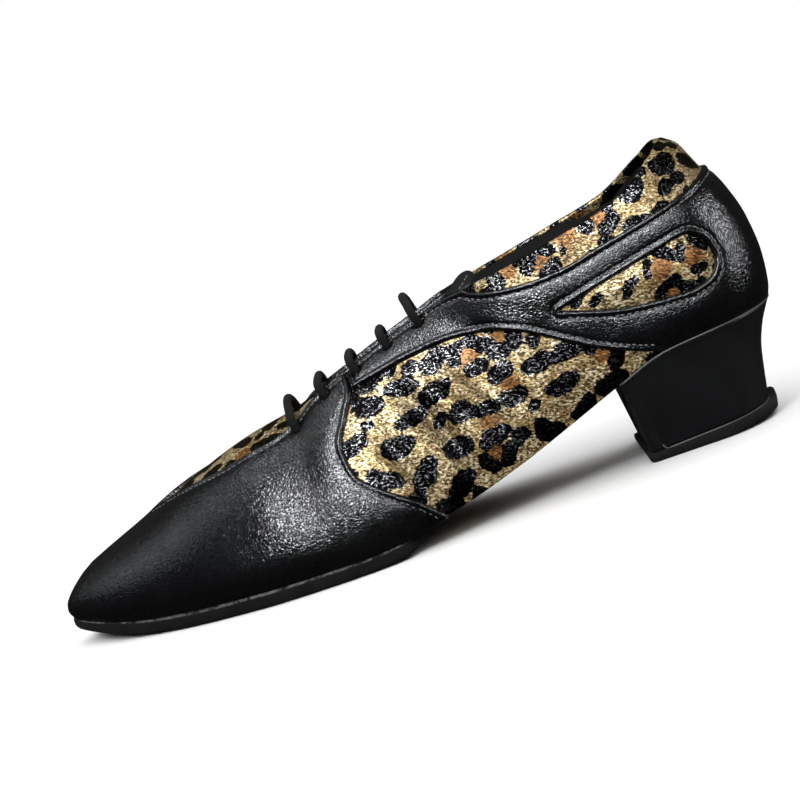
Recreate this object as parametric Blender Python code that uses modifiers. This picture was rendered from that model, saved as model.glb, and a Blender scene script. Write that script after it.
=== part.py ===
"""Left dance practice shoe: split sole, block heel, lace-up upper with inlaid panels.

Metres, +Z up, toe along +X, outer side at +Y. The origin is on the floor under the middle of the heel.
"""

import bmesh
import bpy
import numpy as np

MM = 0.001

# Driving sizes of the finished shoe
LENGTH = 255 * MM
BALL_WIDTH = 83 * MM
HEEL_HEIGHT = 37 * MM
INSTEP_HEIGHT = 72.5 * MM
SOLE_THICK = 5 * MM
WALL = 2 * MM
OVERLAY_THICK = 1.2 * MM
GAP = 0.3 * MM
SKIN = GAP + OVERLAY_THICK
SEAM = 0.3 * MM
TREAD = SOLE_THICK + GAP

# The wall leans in by this share where it meets the sole, up to this level of its height
TUCK = 0.05
TUCK_LEVEL = 0.25
LASTING_MARGIN = 9 * MM
LASTING_POWER = 12
WAIST = (0.17, 0.55)

HEEL_BASE_BACK = 12 * MM
HEEL_BASE_FRONT = 55 * MM
HEEL_SEAT_FRONT = 58.5 * MM
HEEL_BASE_HALF = 20.5 * MM
HEEL_ROUND = 0.5
HEEL_SQUARE = 2.2
BREAST_CORNER = 1.6 * MM
LIFT_FRONT = 2.8 * MM
LIFT_BACK = 5 * MM
LIFT_FLARE = 1.4 * MM
LIFT_LIP = 2.4 * MM
LIFT_LIP_RISE = 2.2 * MM
LIFT_ROCKER = 4 * MM
ORIGIN = (HEEL_BASE_BACK + HEEL_BASE_FRONT) / 2

SOLE_BACK = 129 * MM
SOLE_BACK_ROUND = 11 * MM
SOLE_LEDGE = 1 * MM
SOLE_EDGE_ROUND = 0.9 * MM
INSOLE_THICK = 2.2 * MM
INSOLE_CLEAR = 1 * MM

TONGUE_THICK = 2 * MM
TONGUE_ENDS = (90 * MM, 170 * MM)
TONGUE_RISE = 7 * MM
TONGUE_CLEAR = 0.7 * MM
LACE_RADIUS = 1.4 * MM
LACE_ROWS = 5
LACE_FIRST = 112 * MM
LACE_STEP = 12 * MM
LACE_SLACK = 4 * MM
LACE_CLEAR = 0.45 * MM
EYELET_INSET = 3 * MM

BLACK_LEATHER = (0.012, 0.013, 0.015)
LEOPARD_GOLD = (0.47, 0.34, 0.17)
BLACK_SUEDE = (0.008, 0.008, 0.009)
LINING = (0.035, 0.035, 0.038)


def table(columns, *rows):
    """Rows of numbers as arrays under their column names."""
    return dict(zip(columns.split(), np.array(rows, float).T))


# Sections of the last: place along the length, then centre and half width as shares of the ball
# width, feather line as a share of the heel's rise over the sole, top line as a share of the instep
# height, the share of the width left open on top, and the two powers of the section's curve.
LAST = table(
    "at      centre   half  feather  top   open  bulge crown",
    (0.000,  0.000, 0.000, 1.000, 1.326, 0.70, 2.0, 1.00),
    (0.031,  0.000, 0.240, 0.992, 1.326, 0.71, 2.0, 1.00),
    (0.080,  0.000, 0.339, 0.978, 1.320, 0.74, 2.0, 1.00),
    (0.106,  0.000, 0.353, 0.965, 1.265, 0.76, 2.0, 1.00),
    (0.165,  0.003, 0.360, 0.920, 1.146, 0.79, 2.0, 1.00),
    (0.235,  0.010, 0.352, 0.725, 1.086, 0.80, 2.0, 1.02),
    (0.306,  0.020, 0.344, 0.510, 1.034, 0.72, 1.9, 1.10),
    (0.380,  0.034, 0.350, 0.305, 0.993, 0.38, 1.7, 1.35),
    (0.463,  0.043, 0.380, 0.130, 0.905, 0.25, 1.6, 1.55),
    (0.549,  0.041, 0.436, 0.023, 0.800, 0.22, 1.6, 1.65),
    (0.600,  0.030, 0.463, 0.000, 0.745, 0.15, 1.65, 1.70),
    (0.628,  0.022, 0.474, 0.000, 0.717, 0.00, 1.7, 1.75),
    (0.698,  0.003, 0.482, 0.000, 0.664, 0.00, 1.8, 1.85),
    (0.784, -0.020, 0.440, 0.000, 0.562, 0.00, 1.9, 1.95),
    (0.863, -0.036, 0.355, 0.010, 0.440, 0.00, 2.0, 2.00),
    (0.925, -0.044, 0.252, 0.055, 0.355, 0.00, 2.0, 2.00),
    (0.972, -0.048, 0.139, 0.112, 0.285, 0.00, 2.0, 2.00),
    (1.000, -0.050, 0.000, 0.155, 0.235, 0.00, 2.0, 2.00),
)

# How far the wall's back and front stand in from the shoe's ends, at each level of its height
ENDS = table(
    "level  back      front",
    (0.000,  3.6 * MM, 3.0 * MM),
    (0.070,  2.2 * MM, 2.3 * MM),
    (0.250,  1.3 * MM, 1.5 * MM),
    (0.440,  2.4 * MM, 1.8 * MM),
    (0.640,  5.9 * MM, 3.2 * MM),
    (0.790, 10.4 * MM, 5.4 * MM),
    (0.870, 12.6 * MM, 7.3 * MM),
    (0.945, 14.8 * MM, 9.8 * MM),
    (1.000, 18.6 * MM, 14.0 * MM),
)

# Underside of the front sole: flat on the floor under the ball, curled up at both ends
TREAD_LINE = table(
    "at         height",
    (SOLE_BACK, 2.6 * MM),
    (138 * MM,  1.0 * MM),
    (152 * MM,  0.0),
    (212 * MM,  0.0),
    (232 * MM,  1.2 * MM),
    (246 * MM,  3.6 * MM),
    (258 * MM,  6.6 * MM),
)

# Back of the heel from its base to its seat, as shares of the way from base to seat
HEEL_BACK = table(
    "rise  reach",
    (0.00, 0.00),
    (0.30, 0.15),
    (0.55, 0.31),
    (0.78, 0.59),
    (1.00, 1.00),
)

# Panel outlines seen from the side, and the front inlay seen from above
COLLAR_LINE = table(
    "at        height",
    (-8 * MM,  84.5 * MM),
    (9 * MM,   83.0 * MM),
    (19 * MM,  79.3 * MM),
    (33 * MM,  75.8 * MM),
    (52 * MM,  72.0 * MM),
    (65 * MM,  69.4 * MM),
    (75 * MM,  68.8 * MM),
    (88 * MM,  69.8 * MM),
    (94 * MM,  72.0 * MM),
    (97 * MM,  84.0 * MM),
)
QUARTER_EDGE = table(
    "at        height",
    (138 * MM, 53.8 * MM),
    (128 * MM, 55.8 * MM),
    (116 * MM, 57.8 * MM),
    (104 * MM, 58.8 * MM),
    (94 * MM,  58.2 * MM),
    (83 * MM,  54.7 * MM),
    (75 * MM,  50.2 * MM),
    (67 * MM,  45.2 * MM),
    (59 * MM,  40.8 * MM),
    (51 * MM,  37.6 * MM),
    (43 * MM,  34.3 * MM),
    (37 * MM,  30.0 * MM),
)
VAMP_EDGE = table(
    "at          height",
    (138.6 * MM, 68.0 * MM),
    (139 * MM,   54.5 * MM),
    (143 * MM,   46.5 * MM),
    (147 * MM,   38.5 * MM),
    (146 * MM,   31.0 * MM),
    (139 * MM,   23.5 * MM),
    (130 * MM,   16.5 * MM),
    (120 * MM,   6.0 * MM),
)
SIDE_LEAF = table(
    "at         height",
    (69 * MM,   57.2 * MM),
    (50 * MM,   61.6 * MM),
    (35 * MM,   64.8 * MM),
    (24.5 * MM, 66.6 * MM),
    (19.4 * MM, 62.5 * MM),
    (18.2 * MM, 57.5 * MM),
    (20.8 * MM, 52.4 * MM),
    (29 * MM,   50.2 * MM),
    (47 * MM,   51.4 * MM),
    (69 * MM,   57.2 * MM),
)
FRONT_LEAF = table(
    "at        half",
    (130 * MM, 8.6 * MM),
    (146 * MM, 9.2 * MM),
    (158 * MM, 11.4 * MM),
    (170 * MM, 14.8 * MM),
    (182 * MM, 15.2 * MM),
    (197 * MM, 11.2 * MM),
    (209 * MM, 4.6 * MM),
    (215 * MM, 0.2 * MM),
)
TONGUE_HALF = table(
    "at            half",
    (TONGUE_ENDS[0], 8 * MM),
    (93 * MM,        12 * MM),
    (104 * MM,       15 * MM),
    (150 * MM,       14 * MM),
    (TONGUE_ENDS[1], 11 * MM),
)

# How finely the surfaces are divided
STATIONS = 37
SEAT_STATIONS = (0.157, 0.183, 0.213)
THROAT_STATIONS = (0.60, 0.617, 0.628)
LEVELS = 9
PANEL_POINTS = 44
TONGUE_ROWS = 17
TONGUE_COLUMNS = 7


def smooth(xs, ys, x):
    """Monotone cubic curve through points in rising order of xs, read at x and level beyond its ends."""
    step = np.diff(xs)
    rise = np.diff(ys) / step
    slope = np.zeros(len(xs))
    slope[0] = rise[0]
    slope[-1] = rise[-1]
    for i in range(1, len(xs) - 1):
        if rise[i - 1] * rise[i] > 0:
            before = 2 * step[i] + step[i - 1]
            after = step[i] + 2 * step[i - 1]
            slope[i] = (before + after) / (before / rise[i - 1] + after / rise[i])
    x = np.clip(x, xs[0], xs[-1])
    i = np.clip(np.searchsorted(xs, x) - 1, 0, len(step) - 1)
    u = (x - xs[i]) / step[i]
    start = ys[i] + (slope[i] * step[i] + 2 * ys[i]) * u
    end = ys[i + 1] + (2 * ys[i + 1] - slope[i + 1] * step[i]) * (1 - u)
    return start * (1 - u) ** 2 + end * u**2


def path(rows, first, second, count):
    """Points evenly spread on a smooth line through a table's rows, also where it turns back."""
    a, b = rows[first], rows[second]
    run = np.concatenate([[0], np.cumsum(np.hypot(np.diff(a), np.diff(b)))])
    along = np.linspace(0, run[-1], count)
    return np.stack([smooth(run, a, along), smooth(run, b, along)], 1)


def last(column, at):
    return smooth(LAST["at"], LAST[column], at)


def half_width(at):
    """Half width of the upper's wall, with round ends at heel and toe."""
    return BALL_WIDTH * np.sqrt(smooth(LAST["at"], LAST["half"] ** 2, at))


def centre_line(at):
    return BALL_WIDTH * last("centre", at)


def feather_height(x):
    """Height of the line where the wall meets the sole, x from the shoe's back."""
    return TREAD + (HEEL_HEIGHT - TREAD) * last("feather", x / LENGTH)


def top_height(x):
    return INSTEP_HEIGHT * last("top", x / LENGTH)


def wall_point(side, along, level):
    """Point on the upper's outer face. along and level run from 0 to 1, toe and top at 1."""
    back = smooth(ENDS["level"], ENDS["back"], level)
    front = smooth(ENDS["level"], ENDS["front"], level)
    x = back + along * (LENGTH - front - back)
    feather = feather_height(x)
    z = feather + level * (top_height(x) - feather)
    opened = last("open", along)
    curve = np.clip(1 - level ** last("bulge", along), 0, 1) ** (1 / last("crown", along))
    tuck = TUCK * np.clip(1 - level / TUCK_LEVEL, 0, 1) ** 2
    half = half_width(along) * (opened + (1 - opened) * curve) * (1 - tuck)
    return np.array([x - ORIGIN, centre_line(along) + side * half, z])


def throat_height(x, y):
    """Height of the upper's outer face over a point near the throat, level across the opening."""
    at = x / LENGTH
    opened = last("open", at)
    across = np.clip(abs(y - centre_line(at)) / half_width(at), opened, 1)
    curve = (across - opened) / (1 - opened)
    level = (1 - curve ** last("crown", at)) ** (1 / last("bulge", at))
    feather = feather_height(x)
    return feather + level * (top_height(x) - feather)


def above_throat(x, y, clear):
    """Point that stands clear of the upper's outer face near the throat, square to it."""
    step = MM / 2
    along = (throat_height(x + step, y) - throat_height(x - step, y)) / (2 * step)
    across = (throat_height(x, y + step) - throat_height(x, y - step)) / (2 * step)
    normal = np.array([-along, -across, 1])
    normal /= np.linalg.norm(normal)
    return np.array([x - ORIGIN, y, throat_height(x, y)]) + clear * normal


def spread(count):
    """Places from 0 to 1, close together near both ends."""
    return (1 - np.cos(np.linspace(0, np.pi, count + 1))) / 2


def make_object(name, bm, colour, roughness):
    """An object of the shoe from a finished bmesh, with its own material."""
    mesh = bpy.data.meshes.new(name)
    bm.to_mesh(mesh)
    bm.free()
    mesh.shade_smooth()
    obj = bpy.data.objects.new(name, mesh)
    shoe.objects.link(obj)
    paint(obj, colour, roughness)
    return obj


def paint(obj, colour, roughness):
    material = bpy.data.materials.new(obj.name)
    material.use_nodes = True
    shader = material.node_tree.nodes["Principled BSDF"]
    shader.inputs["Base Color"].default_value = (*colour, 1)
    shader.inputs["Roughness"].default_value = roughness
    obj.data.materials.append(material)


def bridge(bm, first, second, skip=()):
    """Triangles between two rings of vertices of equal count, split the same way on every ring."""
    count = len(first)
    for i in range(count):
        if i in skip:
            continue
        j = (i + 1) % count
        bm.faces.new((first[i], first[j], second[j]))
        bm.faces.new((first[i], second[j], second[i]))


def close_strip(bm, ring, rows, outward):
    """Straight strips from side to side over the given rows of a ring that runs out and back."""
    end = len(ring) - 1
    for i in rows:
        corners = (ring[i], ring[i + 1], ring[end - i - 1], ring[end - i])
        if not outward:
            corners = corners[::-1]
        bm.faces.new(corners[:3])
        bm.faces.new((corners[0], corners[2], corners[3]))


def weld(bm):
    bmesh.ops.remove_doubles(bm, verts=bm.verts, dist=GAP / 1000)
    return bm


def ring_solid(name, rings, colour, roughness):
    """Closed solid of stacked rings, lowest first. A ring runs along +Y and back along the other side."""
    bm = bmesh.new()
    rings = [[bm.verts.new(p) for p in ring] for ring in rings]
    for lower, upper in zip(rings, rings[1:]):
        bridge(bm, upper, lower)
    rows = range(len(rings[0]) // 2 - 1)
    close_strip(bm, rings[0], rows, outward=True)
    close_strip(bm, rings[-1], rows, outward=False)
    weld(bm)
    bmesh.ops.recalc_face_normals(bm, faces=bm.faces)
    return make_object(name, bm, colour, roughness)


def plan_ring(xs, centres, halves, heights):
    """Ring of points from the back along +Y to the front, and back along the other side."""
    near = np.stack([xs - ORIGIN, centres + halves, heights], 1)
    far = np.stack([xs - ORIGIN, centres - halves, heights], 1)
    return np.concatenate([near, far[::-1]])


def upper_stations():
    return np.union1d(spread(STATIONS).round(4), SEAT_STATIONS + THROAT_STATIONS)


def wall_rings(stations):
    """Rings of the upper's outer face from the feather line to the top, without doubled end points."""
    rings = []
    for level in np.sin(np.linspace(0, np.pi / 2, LEVELS + 1)):
        near = [wall_point(1, s, level) for s in stations]
        far = [wall_point(-1, s, level) for s in stations[-2:0:-1]]
        rings.append(near + far)
    return rings


def solidify(obj, thickness, offset):
    modifier = obj.modifiers.new("wall", "SOLIDIFY")
    modifier.thickness = thickness
    modifier.offset = offset
    modifier.use_quality_normals = True


def lasting_ring(stations):
    """Edge of the margin that is turned under the last, inside the feather line."""
    xs = ENDS["back"][0] + stations * (LENGTH - ENDS["front"][0] - ENDS["back"][0])
    xs += LASTING_MARGIN * ((1 - stations) ** LASTING_POWER - stations**LASTING_POWER)
    halves = half_width(stations) * (1 - TUCK - LASTING_MARGIN / half_width(0.165))
    ring = plan_ring(xs, centre_line(stations), halves, feather_height(xs))
    last_near = len(stations) - 1
    return [p for i, p in enumerate(ring) if i not in (last_near + 1, len(ring) - 1)]


def build_upper():
    """One hollow wall: open on top along collar and throat, and below under the ball and the heel."""
    stations = upper_stations()
    bm = bmesh.new()
    rings = [lasting_ring(stations)] + wall_rings(stations)
    rings = [[bm.verts.new(p) for p in ring] for ring in rings]
    for lower, upper in zip(rings, rings[1:]):
        bridge(bm, upper, lower)
    count = len(rings[0])
    for i in np.flatnonzero((stations > WAIST[0]) & (stations < WAIST[1]))[:-1]:
        corners = [rings[0][k % count] for k in (i, i + 1, count - i - 1, count - i)]
        bm.faces.new(corners[:3])
        bm.faces.new((corners[0], corners[2], corners[3]))
    upper = make_object("upper", weld(bm), LEOPARD_GOLD, 0.45)
    solidify(upper, WALL, -1)


def overlay_blank(name):
    """Thin skin over the whole outer wall, from which the overlays are cut."""
    bm = bmesh.new()
    rings = [[bm.verts.new(p) for p in ring] for ring in wall_rings(upper_stations())]
    for lower, upper in zip(rings, rings[1:]):
        bridge(bm, upper, lower)
    weld(bm)
    bm.normal_update()
    offsets = [v.normal * GAP for v in bm.verts]
    for v, offset in zip(bm.verts, offsets):
        v.co += offset
    skin = make_object(name, bm, BLACK_LEATHER, 0.4)
    solidify(skin, OVERLAY_THICK, 1)
    return skin


def cutter(name, outline, axis, low, high):
    """Prism of a closed outline: drawn in X and Z and run along Y, or drawn in X and Y and run along Z."""
    bm = bmesh.new()
    if axis == "Y":
        corners = [(a - ORIGIN, low, b) for a, b in outline]
        travel = (0, high - low, 0)
    else:
        corners = [(a - ORIGIN, b, low) for a, b in outline]
        travel = (0, 0, high - low)
    face = bm.faces.new([bm.verts.new(c) for c in corners])
    grown = bmesh.ops.extrude_face_region(bm, geom=[face])
    moved = [g for g in grown["geom"] if isinstance(g, bmesh.types.BMVert)]
    bmesh.ops.translate(bm, verts=moved, vec=travel)
    bmesh.ops.recalc_face_normals(bm, faces=bm.faces)
    mesh = bpy.data.meshes.new(name)
    bm.to_mesh(mesh)
    bm.free()
    obj = bpy.data.objects.new(name, mesh)
    obj.hide_render = True
    obj.display_type = "WIRE"
    cutters.objects.link(obj)
    return obj


def cut(obj, tool, operation):
    modifier = obj.modifiers.new(tool.name, "BOOLEAN")
    modifier.operation = operation
    modifier.solver = "EXACT"
    modifier.object = tool


def sole_edge(start, end):
    """Line just above the feather line, along which an overlay is trimmed."""
    xs = np.linspace(start, end, PANEL_POINTS)
    return np.stack([xs, feather_height(xs) + SEAM], 1)


def build_quarter_overlay():
    """Counter, quarters and eyestays in one piece round the heel, with a leaf cut out of each side."""
    collar = path(COLLAR_LINE, "at", "height", PANEL_POINTS)
    lower = path(QUARTER_EDGE, "at", "height", PANEL_POINTS)
    lower = lower[lower[:, 1] > feather_height(lower[:, 0]) + SEAM]
    over_throat = [(COLLAR_LINE["at"][-1], 2 * INSTEP_HEIGHT), (QUARTER_EDGE["at"][0], 2 * INSTEP_HEIGHT)]
    seat = sole_edge(lower[-1, 0] - SEAM, COLLAR_LINE["at"][0])
    outline = np.concatenate([lower, seat, collar, over_throat])
    overlay = overlay_blank("quarter_overlay")
    cut(overlay, cutter("quarter_outline", outline, "Y", -LENGTH, LENGTH), "INTERSECT")
    leaf = path(SIDE_LEAF, "at", "height", PANEL_POINTS)[:-1]
    cut(overlay, cutter("side_leaf_outline", leaf, "Y", -LENGTH, LENGTH), "DIFFERENCE")


def build_vamp_overlay():
    """Toe and vamp in one piece, with a pointed inlay left open on the instep."""
    edge = path(VAMP_EDGE, "at", "height", PANEL_POINTS)
    edge = edge[edge[:, 1] > feather_height(edge[:, 0]) + SEAM]
    beyond = 2 * LENGTH
    sole_line = sole_edge(edge[-1, 0] + SEAM, LENGTH + 2 * SKIN)
    corners = [(beyond, sole_line[-1, 1]), (beyond, beyond), (VAMP_EDGE["at"][0], beyond)]
    outline = np.concatenate([edge, sole_line, corners])
    overlay = overlay_blank("vamp_overlay")
    cut(overlay, cutter("vamp_outline", outline, "Y", -LENGTH, LENGTH), "INTERSECT")
    line = path(FRONT_LEAF, "at", "half", PANEL_POINTS // 2)
    middle = centre_line(line[:, 0] / LENGTH)
    near = np.stack([line[:, 0], middle + line[:, 1]], 1)
    far = np.stack([line[:, 0], middle - line[:, 1]], 1)
    leaf = np.concatenate([near, far[::-1]])
    cut(overlay, cutter("front_leaf_outline", leaf, "Z", 2 * TREAD, LENGTH), "DIFFERENCE")


def sole_half(x, ledge):
    """Half width of the shoe's outline at the feather line, grown by a ledge all round."""
    back = ENDS["back"][0] - ledge
    front = LENGTH - ENDS["front"][0] + ledge
    grown = 1 + 2 * ledge / BALL_WIDTH
    return half_width(np.clip((x - back) / (front - back), 0, 1)) * (1 - TUCK) * grown


def build_outsole():
    """Front half of the split sole: a ledge round the upper, flat under the ball, curled up at the toe."""
    ledge = SKIN + SOLE_LEDGE
    front = LENGTH - ENDS["front"][0] + ledge
    xs = SOLE_BACK + spread(STATIONS // 2) * (front - SOLE_BACK)
    halves = sole_half(xs, ledge)
    rear = np.clip((xs - SOLE_BACK) / SOLE_BACK_ROUND, 0, 1)
    halves *= np.sqrt(1 - (1 - rear) ** 2)
    under = smooth(TREAD_LINE["at"], TREAD_LINE["height"], xs)
    over = feather_height(xs) - GAP
    slim = np.maximum(halves - SOLE_EDGE_ROUND, 0)
    centres = centre_line(xs / LENGTH)
    rings = [
        plan_ring(xs, centres, slim, under),
        plan_ring(xs, centres, halves, under + (halves - slim)),
        plan_ring(xs, centres, halves, over),
    ]
    ring_solid("outsole", rings, BLACK_SUEDE, 0.95)


def build_insole():
    """Sock that lies on the turned-under margin, inside the wall from heel to toe."""
    back = ENDS["back"][0] + WALL + INSOLE_CLEAR
    front = LENGTH - ENDS["front"][0] - WALL - INSOLE_CLEAR
    along = upper_stations()
    xs = back + along * (front - back)
    halves = half_width(along) * (1 - TUCK) - WALL - INSOLE_CLEAR
    halves = np.where((along > 0) & (along < 1), np.maximum(halves, MM), 0)
    under = feather_height(xs) + WALL + GAP
    centres = centre_line(along)
    rings = [plan_ring(xs, centres, halves, under + h) for h in (0, INSOLE_THICK)]
    ring_solid("insole", rings, LINING, 0.8)


def heel_ring(rise, height, grow=0.0, reach_back=0.0):
    """Ring of the heel at a share of its rise: round at the back, straight across the breast."""
    reach = smooth(HEEL_BACK["rise"], HEEL_BACK["reach"], rise)
    seat_back = ENDS["back"][0] - SKIN
    back = HEEL_BASE_BACK + reach * (seat_back - HEEL_BASE_BACK) - grow - reach_back
    front = HEEL_BASE_FRONT + rise * (HEEL_SEAT_FRONT - HEEL_BASE_FRONT) + grow
    along = spread(STATIONS // 2)
    seat = sole_half(seat_back + along * (HEEL_SEAT_FRONT - seat_back), SKIN)
    xs = back + along * (front - back)
    rounded = np.clip(along / HEEL_ROUND, 0, 1)
    base = (HEEL_BASE_HALF + grow) * (1 - (1 - rounded) ** HEEL_SQUARE) ** (1 / HEEL_SQUARE)
    halves = base + rise * (seat - base)
    halves[-1] -= BREAST_CORNER
    return plan_ring(xs, np.zeros_like(xs), halves, height(xs))


def lift_top(x):
    """Upper face of the top lift, thicker towards the back."""
    back_share = np.clip((HEEL_BASE_FRONT - x) / (HEEL_BASE_FRONT - HEEL_BASE_BACK), 0, 1)
    return LIFT_FRONT + (LIFT_BACK - LIFT_FRONT) * back_share


def build_heel():
    """Block heel: leans in towards the floor at the back, with a straight breast."""
    rings = []
    for rise in HEEL_BACK["rise"]:
        def height(x, rise=rise):
            base = lift_top(x) + GAP
            return base + rise * (feather_height(x) - GAP - base)
        rings.append(heel_ring(rise, height))
    ring_solid("heel", rings, BLACK_LEATHER, 0.5)


def build_top_lift():
    """Heel tip with flared edges and a lip turned up behind the heel."""
    lip_end = HEEL_BASE_BACK - GAP

    def floor(x):
        return np.zeros_like(x)

    def middle(x):
        return lift_top(x) / 2

    def lipped_top(x):
        share = np.clip((lip_end - x) / LIFT_LIP, 0, 1)
        return lift_top(x) + LIFT_LIP_RISE * share

    rings = [
        heel_ring(0, floor, grow=LIFT_FLARE / 2, reach_back=-LIFT_ROCKER),
        heel_ring(0, middle, grow=LIFT_FLARE, reach_back=LIFT_LIP / 2),
        heel_ring(0, lipped_top, grow=LIFT_FLARE, reach_back=LIFT_LIP / 2),
    ]
    ring_solid("top_lift", rings, BLACK_SUEDE, 0.7)


def tongue_point(x, y, depth):
    """Point of the tongue at a depth under its face: below the eyestays, standing up where the throat ends."""
    inside = np.clip(1 - abs(y - centre_line(x / LENGTH)) / TONGUE_HALF["half"][2], 0, 1)
    start = TONGUE_HALF["at"][2]
    share = np.clip((start - x) / (start - TONGUE_ENDS[0]), 0, 1)
    rise = TONGUE_RISE * share * np.sqrt(inside)
    return above_throat(x, y, rise - WALL - TONGUE_CLEAR - depth)


def build_tongue():
    """Tongue from under the vamp to just above the top of the throat."""
    bm = bmesh.new()
    faces = []
    for depth in (0, TONGUE_THICK):
        grid = []
        for x in np.linspace(*TONGUE_ENDS, TONGUE_ROWS):
            half = smooth(TONGUE_HALF["at"], TONGUE_HALF["half"], x)
            middle = centre_line(x / LENGTH)
            ys = middle + half * np.linspace(-1, 1, TONGUE_COLUMNS)
            grid.append([bm.verts.new(tongue_point(x, y, depth)) for y in ys])
        faces.append(grid)
    top, bottom = faces
    for i in range(TONGUE_ROWS - 1):
        for j in range(TONGUE_COLUMNS - 1):
            bm.faces.new((top[i][j], top[i + 1][j], top[i + 1][j + 1], top[i][j + 1]))
            bm.faces.new((bottom[i][j], bottom[i][j + 1], bottom[i + 1][j + 1], bottom[i + 1][j]))
    rims = [[g[0] for g in top], [g[-1] for g in top], top[0], top[-1]]
    under = [[g[0] for g in bottom], [g[-1] for g in bottom], bottom[0], bottom[-1]]
    for edge, below in zip(rims, under):
        for k in range(len(edge) - 1):
            bm.faces.new((edge[k], edge[k + 1], below[k + 1], below[k]))
    bmesh.ops.recalc_face_normals(bm, faces=bm.faces)
    make_object("tongue", bm, BLACK_LEATHER, 0.6)


def build_lace_bar(row):
    """Straight bar of lace from eyelet to eyelet, lying on the eyestays."""
    x = LACE_FIRST + row * LACE_STEP
    at = x / LENGTH
    middle = centre_line(at)
    inlay = smooth(FRONT_LEAF["at"], FRONT_LEAF["half"], x) if x > FRONT_LEAF["at"][0] else 0
    reach = max(half_width(at) * last("open", at), inlay) + EYELET_INSET
    clear = SKIN + LACE_CLEAR + LACE_RADIUS
    slack = LACE_SLACK if row == 0 else 0
    curve = bpy.data.curves.new(f"lace_bar_{row + 1}", "CURVE")
    curve.dimensions = "3D"
    curve.bevel_depth = LACE_RADIUS
    curve.bevel_resolution = 2
    curve.use_fill_caps = True
    spline = curve.splines.new("POLY")
    shares = np.linspace(-1, 1, 9)
    spline.points.add(len(shares) - 1)
    for point, share in zip(spline.points, shares):
        arch = (slack + LACE_RADIUS) * (1 - share**2)
        point.co = (*above_throat(x, middle + reach * share, clear + arch), 1)
    bar = bpy.data.objects.new(curve.name, curve)
    shoe.objects.link(bar)
    paint(bar, BLACK_SUEDE, 0.9)


for old in list(bpy.data.objects):
    bpy.data.objects.remove(old)
shoe = bpy.data.collections.new("dance_shoe")
cutters = bpy.data.collections.new("cutters")
for collection in (shoe, cutters):
    bpy.context.scene.collection.children.link(collection)

build_outsole()
build_heel()
build_top_lift()
build_upper()
build_insole()
build_tongue()
build_quarter_overlay()
build_vamp_overlay()
for lace_row in range(LACE_ROWS):
    build_lace_bar(lace_row)
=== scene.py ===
"""Looks of a left dance practice shoe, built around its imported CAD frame.

Metres, +Z up, toe along +X, outer side at +Y, origin on the floor under the middle of the heel. The
last's sizes and surface functions are those of the part's source, read here more finely.
"""

import bpy
import numpy as np
from mathutils import Matrix, Vector, geometry, kdtree
from mathutils.bvhtree import BVHTree


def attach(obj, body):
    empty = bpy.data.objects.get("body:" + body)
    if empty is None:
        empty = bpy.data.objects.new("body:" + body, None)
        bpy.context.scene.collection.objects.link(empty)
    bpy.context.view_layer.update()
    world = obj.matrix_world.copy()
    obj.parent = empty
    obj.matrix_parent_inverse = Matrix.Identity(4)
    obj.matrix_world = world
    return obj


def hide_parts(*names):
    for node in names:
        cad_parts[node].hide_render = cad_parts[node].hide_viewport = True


MM = 0.001
TINY = 1e-18

# Sizes of the shoe, as in the part's source
LENGTH = 255 * MM
BALL_WIDTH = 83 * MM
HEEL_HEIGHT = 37 * MM
INSTEP_HEIGHT = 72.5 * MM
SOLE_THICK = 5 * MM
WALL = 2 * MM
GAP = 0.3 * MM
SKIN = 1.5 * MM
TREAD = SOLE_THICK + GAP
TUCK = 0.05
TUCK_LEVEL = 0.25
HEEL_BASE_BACK = 12 * MM
HEEL_BASE_FRONT = 55 * MM
HEEL_SEAT_FRONT = 58.5 * MM
HEEL_BASE_HALF = 20.5 * MM
HEEL_ROUND = 0.5
HEEL_SQUARE = 2.2
LIFT_FRONT = 2.8 * MM
LIFT_BACK = 5 * MM
LIFT_FLARE = 1.4 * MM
LIFT_LIP = 2.4 * MM
LIFT_LIP_RISE = 2.2 * MM
LIFT_ROCKER = 4 * MM
ORIGIN = (HEEL_BASE_BACK + HEEL_BASE_FRONT) / 2
SOLE_BACK = 129 * MM
SOLE_BACK_ROUND = 11 * MM
SOLE_LEDGE = 1 * MM
INSOLE_THICK = 2.2 * MM
INSOLE_CLEAR = 1 * MM
TONGUE_THICK = 2 * MM
TONGUE_ENDS = (90 * MM, 170 * MM)
TONGUE_RISE = 7 * MM
TONGUE_CLEAR = 0.7 * MM
LACE_RADIUS = 1.4 * MM
LACE_ROWS = 5
LACE_FIRST = 112 * MM
LACE_STEP = 12 * MM
LACE_SLACK = 4 * MM
LACE_CLEAR = 0.45 * MM
EYELET_INSET = 3 * MM


def table(columns, *rows):
    """Rows of numbers as arrays under their column names. A column marked /mm is turned into metres."""
    arrays = {}
    for column, values in zip(columns.split(), np.array(rows, float).T):
        name, _, measure = column.partition("/")
        arrays[name] = values * MM if measure == "mm" else values
    return arrays


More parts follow.
